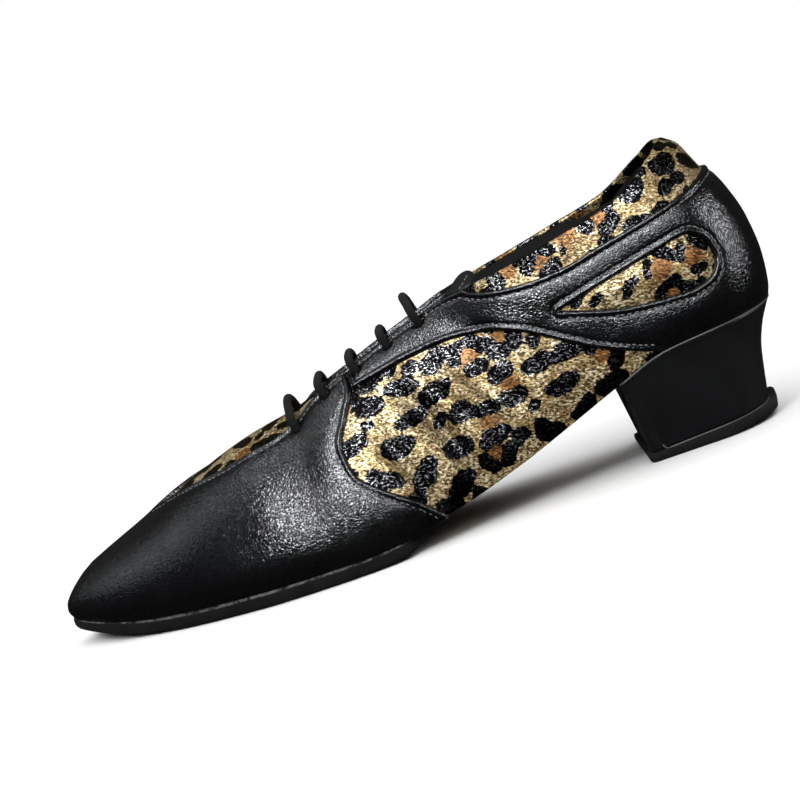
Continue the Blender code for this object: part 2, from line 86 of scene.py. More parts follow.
LAST = table(
    "at centre half feather top open bulge crown",
    (0.000, 0.000, 0.000, 1.000, 1.326, 0.70, 2.0, 1.00),
    (0.031, 0.000, 0.240, 0.992, 1.326, 0.71, 2.0, 1.00),
    (0.080, 0.000, 0.339, 0.978, 1.320, 0.74, 2.0, 1.00),
    (0.106, 0.000, 0.353, 0.965, 1.265, 0.76, 2.0, 1.00),
    (0.165, 0.003, 0.360, 0.920, 1.146, 0.79, 2.0, 1.00),
    (0.235, 0.010, 0.352, 0.725, 1.086, 0.80, 2.0, 1.02),
    (0.306, 0.020, 0.344, 0.510, 1.034, 0.72, 1.9, 1.10),
    (0.380, 0.034, 0.350, 0.305, 0.993, 0.38, 1.7, 1.35),
    (0.463, 0.043, 0.380, 0.130, 0.905, 0.25, 1.6, 1.55),
    (0.549, 0.041, 0.436, 0.023, 0.800, 0.22, 1.6, 1.65),
    (0.600, 0.030, 0.463, 0.000, 0.745, 0.15, 1.65, 1.70),
    (0.628, 0.022, 0.474, 0.000, 0.717, 0.00, 1.7, 1.75),
    (0.698, 0.003, 0.482, 0.000, 0.664, 0.00, 1.8, 1.85),
    (0.784, -0.020, 0.440, 0.000, 0.562, 0.00, 1.9, 1.95),
    (0.863, -0.036, 0.355, 0.010, 0.440, 0.00, 2.0, 2.00),
    (0.925, -0.044, 0.252, 0.055, 0.355, 0.00, 2.0, 2.00),
    (0.972, -0.048, 0.139, 0.112, 0.285, 0.00, 2.0, 2.00),
    (1.000, -0.050, 0.000, 0.155, 0.235, 0.00, 2.0, 2.00),
)
ENDS = table(
    "level back/mm front/mm",
    (0.000, 3.6, 3.0),
    (0.070, 2.2, 2.3),
    (0.250, 1.3, 1.5),
    (0.440, 2.4, 1.8),
    (0.640, 5.9, 3.2),
    (0.790, 10.4, 5.4),
    (0.870, 12.6, 7.3),
    (0.945, 14.8, 9.8),
    (1.000, 18.6, 14.0),
)
TREAD_LINE = table(
    "at/mm height/mm",
    (SOLE_BACK / MM, 2.6), (138, 1.0), (152, 0.0), (212, 0.0), (232, 1.2),
    (246, 3.6), (258, 6.6),
)
HEEL_BACK = table(
    "rise reach",
    (0.00, 0.00), (0.30, 0.15), (0.55, 0.31), (0.78, 0.59), (1.00, 1.00),
)
COLLAR_LINE = table(
    "at/mm height/mm",
    (-8, 84.5), (9, 83.0), (19, 79.3), (33, 75.8), (52, 72.0), (65, 69.4),
    (75, 68.8), (88, 69.8), (94, 72.0), (97, 84.0),
)
QUARTER_EDGE = table(
    "at/mm height/mm",
    (138.8, 53.6), (128, 55.8), (116, 57.8), (104, 58.8), (94, 58.2),
    (83, 54.7), (75, 50.2), (67, 45.2), (59, 40.8), (51, 37.6), (43, 34.3),
    (37, 30.0),
)
VAMP_EDGE = table(
    "at/mm height/mm",
    (138.6, 68.0), (139, 54.5), (143, 46.5), (147, 38.5), (146, 31.0),
    (139, 23.5), (130, 16.5), (120, 6.0),
)
SIDE_LEAF = table(
    "at/mm height/mm",
    (69, 57.2), (50, 61.6), (35, 64.8), (24.5, 66.6), (19.4, 62.5),
    (18.2, 57.5), (20.8, 52.4), (29, 50.2), (47, 51.4), (69, 57.2),
)
FRONT_LEAF = table(
    "at/mm half/mm",
    (130, 8.6), (146, 9.2), (158, 11.4), (170, 14.8), (182, 15.2),
    (197, 11.2), (209, 4.6), (215, 0.2),
)
TONGUE_HALF = table(
    "at/mm half/mm",
    (TONGUE_ENDS[0] / MM, 8), (93, 12), (104, 15), (150, 14),
    (TONGUE_ENDS[1] / MM, 11),
)
TONGUE_BROADEST = 2

# How the leather overlays stand over the printed base, by distance from their free edge: a folded
# edge like a cord, a sewn groove, then the flat of the panel
EDGE_FOLD = table(
    "inside/mm height/mm",
    (0.00, -0.20), (0.15, 0.75), (0.50, 1.35), (1.05, 1.60), (1.60, 1.48),
    (2.15, 1.12), (2.45, 1.06), (2.85, 1.26), (3.60, SKIN / MM),
)
SEAM_INSIDE = 2.4 * MM

# Creases left by bending, and last the puffed side leaf: ends seen from the side, bow, width and depth
CREASES = table(
    "from_at/mm from_z/mm to_at/mm to_z/mm bow/mm width/mm depth/mm",
    (129, 53, 110, 12, 4, 3.4, 1.70),
    (139, 44, 125, 10, 2, 3.0, 1.20),
    (117, 54, 95, 22, 4, 3.0, 1.15),
    (100, 52, 84, 30, -2, 2.6, 0.70),
    (112, 66, 88, 56, 2, 2.6, 0.60),
    (100, 68, 76, 58, 1, 2.4, 0.45),
    (172, 46, 154, 10, -4, 6.0, 0.35),
    (188, 42, 174, 10, -4, 7.0, 0.25),
    (66, 57, 18, 59, 0, 4.5, -0.80),
)
CREASE_POINTS = 25
CREASE_FADE = 0.7
RIDGE_SHARE = 0.42
RIDGE_PLACE = 1.9

# How finely the surfaces are divided
SKIN_STATIONS = 321
SKIN_LEVELS = 85
EDGE_STEP = 0.42 * MM
PATH_POINTS = 500
SOLVE_STEPS = 12
SLOPE_STEP = MM / 2
WELD_STEP = MM / 1000
CUT_REACH = 1e-9


# Curves and surfaces of the last

def smooth(xs, ys, x):
    """Monotone cubic curve through points in rising order of xs, read at x and level beyond its ends."""
    step = np.diff(xs)
    rise = np.diff(ys) / step
    slope = np.zeros(len(xs))
    slope[0] = rise[0]
    slope[-1] = rise[-1]
    for i in range(1, len(xs) - 1):
        if rise[i - 1] * rise[i] > 0:
            before = 2 * step[i] + step[i - 1]
            after = step[i] + 2 * step[i - 1]
            slope[i] = (before + after) / (before / rise[i - 1] + after / rise[i])
    x = np.clip(x, xs[0], xs[-1])
    i = np.clip(np.searchsorted(xs, x) - 1, 0, len(step) - 1)
    u = (x - xs[i]) / step[i]
    start = ys[i] + (slope[i] * step[i] + 2 * ys[i]) * u
    end = ys[i + 1] + (2 * ys[i + 1] - slope[i + 1] * step[i]) * (1 - u)
    return start * (1 - u) ** 2 + end * u**2


def read(rows, column, x):
    """A table's column at x on a smooth curve over the table's first column."""
    return smooth(next(iter(rows.values())), rows[column], x)


def path(rows, count):
    """Points evenly spread on a smooth line through a table's two columns, also where it turns back."""
    a, b = rows.values()
    run = np.concatenate([[0], np.cumsum(np.hypot(np.diff(a), np.diff(b)))])
    along = np.linspace(0, run[-1], count)
    return smooth(run, a, along), smooth(run, b, along)


def run_along(points):
    """Distance along a line of points, at each of them."""
    return np.concatenate([[0], np.cumsum(np.linalg.norm(np.diff(points, axis=0), axis=1))])


def unit(vectors):
    """Vectors brought to length one, apart from those with no length."""
    return vectors / np.maximum(np.linalg.norm(vectors, axis=-1, keepdims=True), TINY)


def normals_over(surface, u, v, step):
    """Normals of a surface of two numbers, square to its slopes along both."""
    ahead = surface(u + step, v) - surface(u - step, v)
    across = surface(u, v + step) - surface(u, v - step)
    return unit(np.cross(ahead, across))


def last(column, at):
    return read(LAST, column, at)


def half_width(at):
    """Half width of the upper's wall, with round ends at heel and toe."""
    return BALL_WIDTH * np.sqrt(smooth(LAST["at"], LAST["half"] ** 2, at))


def centre_line(at):
    return BALL_WIDTH * last("centre", at)


def feather_height(x):
    """Height of the line where the wall meets the sole, x from the shoe's back."""
    return TREAD + (HEEL_HEIGHT - TREAD) * last("feather", x / LENGTH)


def top_height(x):
    return INSTEP_HEIGHT * last("top", x / LENGTH)


def reach_at(level):
    """Where the wall starts at a level, and how far it runs from there."""
    back = read(ENDS, "back", level)
    return back, LENGTH - read(ENDS, "front", level) - back


def place_along(along, level):
    """Distance from the shoe's back of a place on the wall."""
    back, run = reach_at(level)
    return back + along * run


def share_along(x, level):
    """Inverse of place_along at the same level."""
    back, run = reach_at(level)
    return (x - back) / run


def wall_height(x, level):
    """Height of the wall at a level, x from the shoe's back."""
    feather = feather_height(x)
    return feather + level * (top_height(x) - feather)


def wall(side, along, level):
    """Points on the upper's outer face. along and level run from 0 to 1, toe and top at 1."""
    x = place_along(along, level)
    opened = last("open", along)
    curve = np.clip(1 - level ** last("bulge", along), 0, 1) ** (1 / last("crown", along))
    tuck = TUCK * np.clip(1 - level / TUCK_LEVEL, 0, 1) ** 2
    half = half_width(along) * (opened + (1 - opened) * curve) * (1 - tuck)
    return np.stack([x - ORIGIN, centre_line(along) + side * half, wall_height(x, level)], -1)


def level_across(share, at):
    """Level of the wall where it stands a share of its half width out from the middle."""
    opened = last("open", at)
    curve = np.clip((share - opened) / (1 - opened), 0, 1)
    return (1 - curve ** last("crown", at)) ** (1 / last("bulge", at))


def from_side(x, z):
    """Shares along and up the wall of a point seen from the side."""
    feather = feather_height(x)
    level = (z - feather) / (top_height(x) - feather)
    return share_along(x, np.clip(level, 0, 1)), level


def from_above(x, half):
    """Shares along and up the wall of a point seen from above, half its distance from the middle."""
    along = x / LENGTH
    for _ in range(SOLVE_STEPS):
        level = level_across(half / half_width(along), along)
        along = share_along(x, level)
    return along, level


def throat_face(x, y):
    """Points of the upper's outer face near the throat, level across the opening."""
    at = x / LENGTH
    level = level_across(abs(y - centre_line(at)) / half_width(at), at)
    return np.stack([x - ORIGIN, y, wall_height(x, level)], -1)


def above_throat(x, y, clear):
    """Points that stand clear of the upper's outer face near the throat, square to it."""
    return throat_face(x, y) + np.asarray(clear)[..., None] * normals_over(throat_face, x, y, SLOPE_STEP)


def crease(points):
    """How far creases lower or raise points of the upper, by their place seen from the side."""
    seen = points[:, [0, 2]] + np.array([ORIGIN, 0])
    total = np.zeros(len(points))
    shares = np.linspace(0, 1, CREASE_POINTS)[:, None]
    for x0, z0, x1, z1, bow, width, depth in zip(*CREASES.values()):
        start, end = np.array([x0, z0]), np.array([x1, z1])
        across = np.array([z1 - z0, x0 - x1]) / np.hypot(x1 - x0, z1 - z0)
        middle = start + shares * (end - start) + bow * 4 * shares * (1 - shares) * across
        reach = np.linalg.norm(seen[:, None] - middle[None], axis=2)
        nearest = reach.argmin(1)
        away = reach[np.arange(len(points)), nearest] / width
        fade = np.sin(np.pi * shares[nearest, 0]) ** CREASE_FADE
        trough = np.exp(-(away**2)) - RIDGE_SHARE * np.exp(-((away - RIDGE_PLACE) ** 2))
        total -= depth * fade * trough
    return total


# Meshes

def numbered(shape):
    """Grid of point numbers, row after row."""
    return np.arange(shape[0] * shape[1]).reshape(shape)


def grid_faces(grid, flip=False):
    """Triangles between neighbouring points of a grid of point numbers."""
    a, b, c, d = grid[:-1, :-1], grid[1:, :-1], grid[1:, 1:], grid[:-1, 1:]
    faces = np.stack([np.stack([a, b, c], -1), np.stack([a, c, d], -1)], 2).reshape(-1, 3)
    return faces[:, ::-1] if flip else faces


def closed(grid):
    """The grid with its first column repeated at the end, for what goes right round."""
    return np.concatenate([grid, grid[:, :1]], 1)


def joined(parts):
    """Points and faces of several meshes as one mesh."""
    starts = np.cumsum([0] + [len(points) for points, _ in parts[:-1]])
    faces = [faces + start for (_, faces), start in zip(parts, starts)]
    return np.concatenate([points for points, _ in parts]), np.concatenate(faces)


def weld(points, faces):
    """Joins points in the same place and drops unused ones. Returns the numbers of the points kept, the
    faces between them, and which of the old faces those are."""
    keys = np.round(points / WELD_STEP).astype(np.int64)
    _, first, index = np.unique(keys, axis=0, return_index=True, return_inverse=True)
    faces = index.reshape(-1)[faces]
    whole = (faces[:, 0] != faces[:, 1]) & (faces[:, 1] != faces[:, 2]) & (faces[:, 2] != faces[:, 0])
    used, faces = np.unique(faces[whole], return_inverse=True)
    return first[used], faces.reshape(-1, 3), whole


def normals_of(points, faces):
    a, b, c = (points[faces[:, i]] for i in range(3))
    flat = np.cross(b - a, c - a)
    normals = np.zeros_like(points)
    for i in range(3):
        np.add.at(normals, faces[:, i], flat)
    return unit(normals)


def settled(normals, faces, passes):
    """Normals averaged with those of their neighbours, to even out the triangles' own bends."""
    for _ in range(passes):
        around = np.zeros_like(normals)
        for i in range(3):
            np.add.at(around, faces[:, i], normals[faces].sum(1))
        normals = unit(around)
    return normals


def make_piece(name, points, faces, materials, slot, node=None, kinds=None, normals=None):
    """A piece of the shoe that rides on its one body, and stands for a CAD node if one is named."""
    mesh = bpy.data.meshes.new(name)
    mesh.from_pydata(points.tolist(), [], faces.tolist())
    mesh.shade_smooth()
    for material in materials:
        mesh.materials.append(material)
    if kinds is not None:
        mesh.polygons.foreach_set("material_index", kinds.astype(np.int32))
    if normals is not None:
        mesh.normals_split_custom_set_from_vertices(normals.tolist())
    obj = bpy.data.objects.new(name, mesh)
    bpy.context.scene.collection.objects.link(obj)
    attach(obj, "root")
    if node:
        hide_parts(node)
    return obj


# Shader nodes: noise scales are cells to the metre, bump depths are metres

NOISE_SPAN = (0.3, 0.7)


def new_material(name):
    """A material with its node tree and shader."""
    material = bpy.data.materials.new(name)
    material.use_nodes = True
    return material, material.node_tree, material.node_tree.nodes["Principled BSDF"]


def add(tree, kind, inputs=None, **settings):
    """A shader node with its settings and inputs."""
    node = tree.nodes.new("ShaderNode" + kind)
    for key, value in settings.items():
        setattr(node, key, value)
    fill(tree, node, inputs or {})
    return node


def fill(tree, node, inputs):
    """Sets a node's inputs, each to a value, a colour or another node's socket."""
    for key, value in inputs.items():
        socket = node.inputs[key]
        if isinstance(value, bpy.types.NodeSocket):
            tree.links.new(value, socket)
        else:
            socket.default_value = (*value, 1) if socket.type == "RGBA" else value


def object_place(tree, stretch=(1, 1, 1), turn=(0, 0, 0)):
    """Place on the object in metres, turned and then stretched along its axes."""
    place = add(tree, "TexCoord").outputs["Object"]
    place = add(tree, "Mapping", {"Vector": place, "Rotation": turn}).outputs["Vector"]
    return add(tree, "Mapping", {"Vector": place, "Scale": stretch}).outputs["Vector"]


def noise(tree, place, scale, detail=2.0, rough=0.5, output="Fac"):
    inputs = {"Vector": place, "Scale": scale, "Detail": detail, "Roughness": rough}
    return add(tree, "TexNoise", inputs).outputs[output]


def ramp(tree, value, low, high, start=0.0, end=1.0):
    """value moved from the range low to high into the range start to end."""
    inputs = {"Value": value, "From Min": low, "From Max": high, "To Min": start, "To Max": end}
    return add(tree, "MapRange", inputs).outputs["Result"]


def sums(tree, operation, a, b):
    return add(tree, "Math", {0: a, 1: b}, operation=operation).outputs["Value"]


def mix(tree, factor, a, b):
    """Colour between a and b."""
    node = add(tree, "Mix", {0: factor}, data_type="RGBA")
    first, second = (i for i, socket in enumerate(node.inputs) if socket.type == "RGBA")
    fill(tree, node, {first: a, second: b})
    return next(socket for socket in node.outputs if socket.type == "RGBA")


def bump(tree, height, depth, strength=1.0, under=None):
    """Normal over a height field, on top of another one's normal."""
    inputs = {"Height": height, "Distance": depth, "Strength": strength}
    if under:
        inputs["Normal"] = under
    return add(tree, "Bump", inputs).outputs["Normal"]


def attribute(tree, name):
    return add(tree, "Attribute", attribute_name=name).outputs["Fac"]


# Black leather: noise scales of its warp, pores and lumps against its pebbles', their depths, and its gloss
WARP_SCALE = 0.35
WARP_SHARE = 0.0014
PEBBLE_EDGE = 0.3
PORE_SCALE = 2.2
PORE_DEPTH = 0.3
LUMP_SCALE = 0.14
LUMP_DEPTH = 1.6
PATCH_SCALE = 55
DULLER = 0.05
GLOSSIER = 0.03
COOL_GLOSS = (0.92, 0.96, 1.0)


def leather(name, colour, pebble_tops, roughness, grain, depth):
    """Black leather: pebbled grain with fine pores, softly uneven colour and gloss."""
    material, tree, shader = new_material(name)
    place = object_place(tree)
    warp = noise(tree, place, WARP_SCALE / grain, detail=3, output="Color")
    bent = add(tree, "MixRGB", {"Fac": WARP_SHARE, "Color1": place, "Color2": warp}).outputs["Color"]
    cells = add(tree, "TexVoronoi", {"Vector": bent, "Scale": 1 / grain}, feature="DISTANCE_TO_EDGE")
    pebbles = ramp(tree, cells.outputs["Distance"], 0.0, PEBBLE_EDGE)
    pores = noise(tree, place, PORE_SCALE / grain, detail=4, rough=0.6)
    lumps = noise(tree, place, LUMP_SCALE / grain, detail=3)
    normal = bump(tree, pebbles, depth)
    normal = bump(tree, pores, PORE_DEPTH * depth, under=normal)
    normal = bump(tree, lumps, LUMP_DEPTH * depth, under=normal)
    patches = noise(tree, place, PATCH_SCALE, detail=3)
    fill(tree, shader, {
        # The colour is lighter towards the pebbles' tops and darker in the gaps between them, in patches
        "Base Color": mix(tree, sums(tree, "MULTIPLY", pebbles, patches), colour, pebble_tops),
        "Roughness": ramp(tree, patches, *NOISE_SPAN, roughness - GLOSSIER, roughness + DULLER),
        "Normal": normal,
        "Specular Tint": COOL_GLOSS,
    })
    return material


# Printed gold leather: colours, then scales and ranges of its ragged print, crinkles, glints and shades
GOLD_DARK = (0.235, 0.145, 0.043)
GOLD_PALE = (0.42, 0.295, 0.115)
# Pale glint colours are painted highlights in the base colour of the gold and the tan
GOLD_PAINTED_GLINT = (0.85, 0.77, 0.56)
TAN = (0.2, 0.074, 0.014)
TAN_PAINTED_GLINT = (0.44, 0.22, 0.07)
PRINT_BLACK = (0.0012, 0.0012, 0.0014)
# In the fully metallic marks the glint colour raises only the reflectance
PRINT_GLINT = (0.15, 0.154, 0.163)
# Painted shade for the crinkles' valleys
VALLEY_SHADE = (0.015, 0.010, 0.005)
# Painted shade for the creases' troughs
CREASE_SHADE = (0.02, 0.012, 0.005)
WARM_GLOSS = (1.0, 0.84, 0.6)
RAGGED_SCALE = 330
RAGGED_BY = 0.18
FRAYED_SCALE = 1700
FRAYED_BY = 0.09
SPOT_EDGE = (-0.11, -0.05)
TAN_EDGE = (-0.2, 0.25)
CRINKLE_SCALE = 1700
CRINKLE_STRETCH = (0.6, 1, 1)
CRINKLE_TURN = (0, 0.25, 0)
CRINKLE_DEPTH = 0.2 * MM
CRINKLE_GLOSS = (0.38, 0.2)
VALLEY_EDGE = (0.42, 0.54)
GLINT_AREAS = 160
GLINT_FROM = (0.585, 0.485)
GLINT_EDGE = (0.0, 0.12)
SHADE_SCALE = 110
CREASE_EDGE = (-0.2, -1.1)
CREASE_SHARE = 0.55
FOIL_METAL = 0.35


def leopard_leather():
    """Gold foil leather with a printed leopard pattern: streaky crinkles that glint, the glints painted in
    as highlights on the gold and tan, and in the fully metallic marks as a brighter reflectance.
    """
    material, tree, shader = new_material("printed_leather")
    place = object_place(tree)
    broad = noise(tree, place, RAGGED_SCALE, detail=3, rough=0.6)
    frayed = noise(tree, place, FRAYED_SCALE, detail=2, rough=0.6)
    broad = ramp(tree, broad, *NOISE_SPAN, -RAGGED_BY, RAGGED_BY)
    ragged = sums(tree, "ADD", broad, ramp(tree, frayed, *NOISE_SPAN, -FRAYED_BY, FRAYED_BY))
    spot = ramp(tree, sums(tree, "ADD", attribute(tree, "spot"), ragged), *SPOT_EDGE)
    tan = ramp(tree, sums(tree, "ADD", attribute(tree, "tan"), ragged), *TAN_EDGE)
    streaks = object_place(tree, CRINKLE_STRETCH, CRINKLE_TURN)
    crinkles = noise(tree, streaks, CRINKLE_SCALE, detail=3, rough=0.6)
    areas = noise(tree, place, GLINT_AREAS, detail=3, rough=0.6)
    glints = sums(tree, "SUBTRACT", crinkles, ramp(tree, areas, *NOISE_SPAN, *GLINT_FROM))
    glints = ramp(tree, glints, *GLINT_EDGE)
    shade = ramp(tree, noise(tree, place, SHADE_SCALE), *NOISE_SPAN)
    gold = mix(tree, tan, mix(tree, shade, GOLD_DARK, GOLD_PALE), TAN)
    # Painted shade: the colour darkens in the crinkles' valleys
    gold = mix(tree, ramp(tree, crinkles, *VALLEY_EDGE), VALLEY_SHADE, gold)
    # Painted highlights: glint specks lighten the gold and the tan
    gold = mix(tree, glints, gold, mix(tree, tan, GOLD_PAINTED_GLINT, TAN_PAINTED_GLINT))
    # Painted shade: the colour darkens to brown in the creases' troughs
    crease_shade = ramp(tree, attribute(tree, "fold"), *CREASE_EDGE, 0.0, CREASE_SHARE)
    gold = mix(tree, crease_shade, gold, CREASE_SHADE)
    fill(tree, shader, {
        "Base Color": mix(tree, spot, gold, mix(tree, glints, PRINT_BLACK, PRINT_GLINT)),
        "Metallic": ramp(tree, spot, 0, 1, FOIL_METAL, 1.0),
        "Roughness": ramp(tree, crinkles, *NOISE_SPAN, *CRINKLE_GLOSS),
        "Specular Tint": WARM_GLOSS,
        "Normal": bump(tree, crinkles, CRINKLE_DEPTH),
    })
    return material


# Suede, satin and cloth: tones by noise, and the depth and strength of their bumps
NAP_TONE = (0.85, 1.25)
NAP_BUMP = (0.35 * MM, 0.8)
TOOTH_SCALE = 1500
TOOTH_BUMP = (0.05 * MM, 0.6)
SATIN_LUMPS = 90
SATIN_BUMP = (0.4 * MM, 0.25)
SATIN_TONE = (0.35, 0.7)
SATIN_LIGHTER = 1.6
SATIN_UNEVEN = 0.05
THREAD_BEND = 0.6
FUZZ_SCALE = 1800
WEAVE_BUMP = (0.12 * MM, 0.5)


def suede(name, colour, raised, scale, patches=14):
    """Napped suede: matt, mottled in patches as broad as so many naps, with a faint sheen."""
    material, tree, shader = new_material(name)
    place = object_place(tree)
    nap = noise(tree, place, scale, detail=4, rough=0.7)
    brushed = noise(tree, place, scale / patches, detail=3)
    tone = ramp(tree, sums(tree, "ADD", nap, brushed), *NAP_TONE)
    fill(tree, shader, {
        "Base Color": mix(tree, tone, colour, raised),
        "Roughness": 0.95,
        "Specular IOR Level": 0.2,
        "Sheen Weight": 0.02,
        "Sheen Roughness": 0.4,
        "Normal": bump(tree, nap, *NAP_BUMP),
    })
    return material


def satin(name, colour, roughness):
    """Thin satin finish, as of leather drawn tight: fine tooth and faint lumps."""
    material, tree, shader = new_material(name)
    place = object_place(tree)
    tooth = noise(tree, place, TOOTH_SCALE, detail=4, rough=0.6)
    lumps = noise(tree, place, SATIN_LUMPS)
    normal = bump(tree, tooth, *TOOTH_BUMP)
    lighter = tuple(SATIN_LIGHTER * c for c in colour)
    fill(tree, shader, {
        "Base Color": mix(tree, ramp(tree, lumps, *SATIN_TONE), colour, lighter),
        "Roughness": ramp(tree, tooth, *NOISE_SPAN, roughness - SATIN_UNEVEN, roughness + SATIN_UNEVEN),
        "Normal": bump(tree, lumps, *SATIN_BUMP, normal),
    })
    return material


def cloth(name, colour, lighter, scale):
    """Close woven cloth: two sets of threads crossing, finer at a larger scale."""
    material, tree, shader = new_material(name)
    place = object_place(tree)
    inputs = {"Vector": place, "Scale": scale, "Distortion": THREAD_BEND, "Detail": 1.0}
    heights = [add(tree, "TexWave", inputs, bands_direction=axis).outputs["Fac"] for axis in "XZ"]
    weave = sums(tree, "MAXIMUM", *heights)
    fuzz = noise(tree, place, FUZZ_SCALE, detail=3)
    fill(tree, shader, {
        "Base Color": mix(tree, sums(tree, "MULTIPLY", weave, fuzz), colour, lighter),
        "Roughness": 0.88,
        "Specular IOR Level": 0.2,
        "Sheen Weight": 0.02,
        "Normal": bump(tree, weave, *WEAVE_BUMP),
    })
    return material


# Upper

RIM_STEPS = 7
TURN_IN = 4 * MM
THROAT_START = 94.5 * MM
UNDER_ROWS = 8
UNDER_SAG = 1.3 * MM
SAG_POWER = 4
WAIST = (60 * MM, 84 * MM, 112 * MM, 134 * MM)

# Marks are smaller in the middle of the side leaf, a painted highlight: its middle and reach, along and up
LEAF_MIDDLE = (38 * MM, 58 * MM)
LEAF_REACH = (27 * MM, 8 * MM)
LEAF_HIGHLIGHT_THIN = 0.5

# The base is black where the two overlays meet beside the throat, and its painted shade is darkest
# in creases this deep
JOIN_REACH = 5 * MM
JOIN_HEIGHT = 52 * MM
FOLD_DEEP = 1 * MM


def eased(p, q):
    """Shares along and up the wall, closer together at both ends and at the top."""
    return (1 - np.cos(np.pi * p)) / 2, np.sin(q * np.pi / 2)


def sections(stations, levels):
    """Shares along and up the wall on a grid: rows rise, columns run from heel to toe."""
    return eased(*np.meshgrid(np.linspace(0, 1, stations), np.linspace(0, 1, levels)))


def under_rows(along, feather_row):
    """Rows from the middle of the waist out to the feather line, bowed a little below it."""
    x = feather_row[:, 0] + ORIGIN
    sag = UNDER_SAG * np.clip((x - WAIST[0]) / (WAIST[1] - WAIST[0]), 0, 1)
    sag *= np.clip((WAIST[3] - x) / (WAIST[3] - WAIST[2]), 0, 1)
    middle = centre_line(along)
    rows = []
    for share in np.linspace(0, 1, UNDER_ROWS + 1)[:-1]:
        row = feather_row.copy()
        row[:, 1] = middle + share * (feather_row[:, 1] - middle)
        row[:, 2] -= sag * (1 - share**SAG_POWER)
        rows.append(row)
    return rows


def rim_rows(side, rows):
    """Rows that roll the wall's top edge over and a little way down the inside."""
    top, below = rows[-1], rows[-3]
    up = unit(top - below)
    out = np.cross(up, np.gradient(top, axis=0)) * side
    out[0, 1] = 0
    out = unit(out)
    rolled = []
    for angle in np.linspace(0, np.pi, RIM_STEPS)[1:]:
        rolled.append(top - WALL / 2 * (1 - np.cos(angle)) * out + WALL / 2 * np.sin(angle) * up)
    rolled.append(top - WALL * out - TURN_IN * up)
    return rolled


def build_upper(printed, binding):
    """Printed base of the upper, from the middle of the waist over the wall to its rolled top edge, which
    is bound in black along the throat."""
    along, level = sections(SKIN_STATIONS, SKIN_LEVELS)
    opened = last("open", along[0]) * half_width(along[0]) > WALL / 2
    open_to = np.flatnonzero(opened)[-1]
    throat = np.searchsorted(along[0], share_along(THROAT_START, 1.0))
    body = UNDER_ROWS + SKIN_LEVELS
    parts, kinds = [], []
    for side in (1, -1):
        rows = list(wall(side, along, level))
        block = np.array(under_rows(along[0], rows[0]) + rows + rim_rows(side, rows))
        grid = numbered(block.shape[:2])
        sheets = (grid[:body], grid[body - 1:, :throat + 1], grid[body - 1:, throat:open_to + 1])
        faces = [grid_faces(sheet, flip=side < 0) for sheet in sheets]
        kinds += [np.full(len(sheet), kind) for sheet, kind in zip(faces, (0, 0, 1))]
        parts.append((block.reshape(-1, 3), np.concatenate(faces)))
    points, faces = joined(parts)
    kept, faces, whole = weld(points, faces)
    points = points[kept]
    on_wall = np.tile(grid.ravel() < grid[body, 0], 2)[kept]
    normals = normals_of(points, faces)
    spot, tan = leopard_print(points, normals)
    x, z = points[:, 0] + ORIGIN, points[:, 2]
    # Painted highlight: marks shrink in the middle of the side leaf, so that its crest looks lit
    from_leaf = ((x - LEAF_MIDDLE[0]) / LEAF_REACH[0]) ** 2 + ((z - LEAF_MIDDLE[1]) / LEAF_REACH[1]) ** 2
    spot -= LEAF_HIGHLIGHT_THIN * np.clip(1 - from_leaf, 0, 1)
    spot[(abs(x - VAMP_EDGE["at"][0]) < JOIN_REACH) & (z > JOIN_HEIGHT)] = 1
    folds = crease(points) * on_wall
    points = points + folds[:, None] * normals
    kinds = np.concatenate(kinds)[whole]
    upper = make_piece("upper_skin", points, faces, [printed, binding], "printed_leather", "upper", kinds)
    for name, values in (("spot", spot), ("tan", tan), ("fold", folds / FOLD_DEEP)):
        field = upper.data.attributes.new(name, "FLOAT", "POINT")
        field.data.foreach_set("value", values.astype(np.float32))


def build_lining(material):
    """Lining, a wall's thickness inside the printed base."""
    along, level = sections(SKIN_STATIONS // 2, SKIN_LEVELS // 2)
    grid = numbered(level.shape)
    parts = [(wall(side, along, level).reshape(-1, 3), grid_faces(grid, side < 0)) for side in (1, -1)]
    points, faces = joined(parts)
    kept, faces, _ = weld(points, faces)
    points = points[kept]
    points = points + (crease(points) - WALL)[:, None] * normals_of(points, faces)
    make_piece("upper_lining", points, faces[:, ::-1], [material], "lining")


# Leopard print: pitches in metres, and ranges to draw from, with sizes of marks in millimetres
PRINT_SEED = 7
PRINT_PITCH = 9.6 * MM
PRINT_TRIES = 6000
ROSETTE_SHARE = 0.38
SPECK_PITCH = 5 * MM
SPECK_CLEAR = -0.75
SPECK_SIZE = (1.5, 2.3)
SPECK_LONG = 1.3
MARK_LENGTH = (4.0, 5.6)
MARK_WIDTH = (2.7, 3.4)
MARK_TURN = (-0.7, 0.7)
END_ASIDE = (-0.6, 0.6)
END_TURN = (-0.8, 0.8)
END_PLACE = 0.55
END_LENGTH = 0.6
END_WIDTH = 0.72
HEART_TURN = (-0.9, 0.9)
HEART_SIZE = (4.2 * MM, 3.3 * MM)
ARC_COUNT = (2, 4)
ARC_SHIFT = (-0.12, 0.12)
ARC_REACH = (4.2, 5.2)
ARC_WIDTH = (1.9, 2.6)
ARC_BEND = (0.26, 0.42)
ARC_LONG = 1.25
ARC_OVALS = 3
LEANING_UP = (0.25, 0, 1)
OVAL_REACH = 2.4


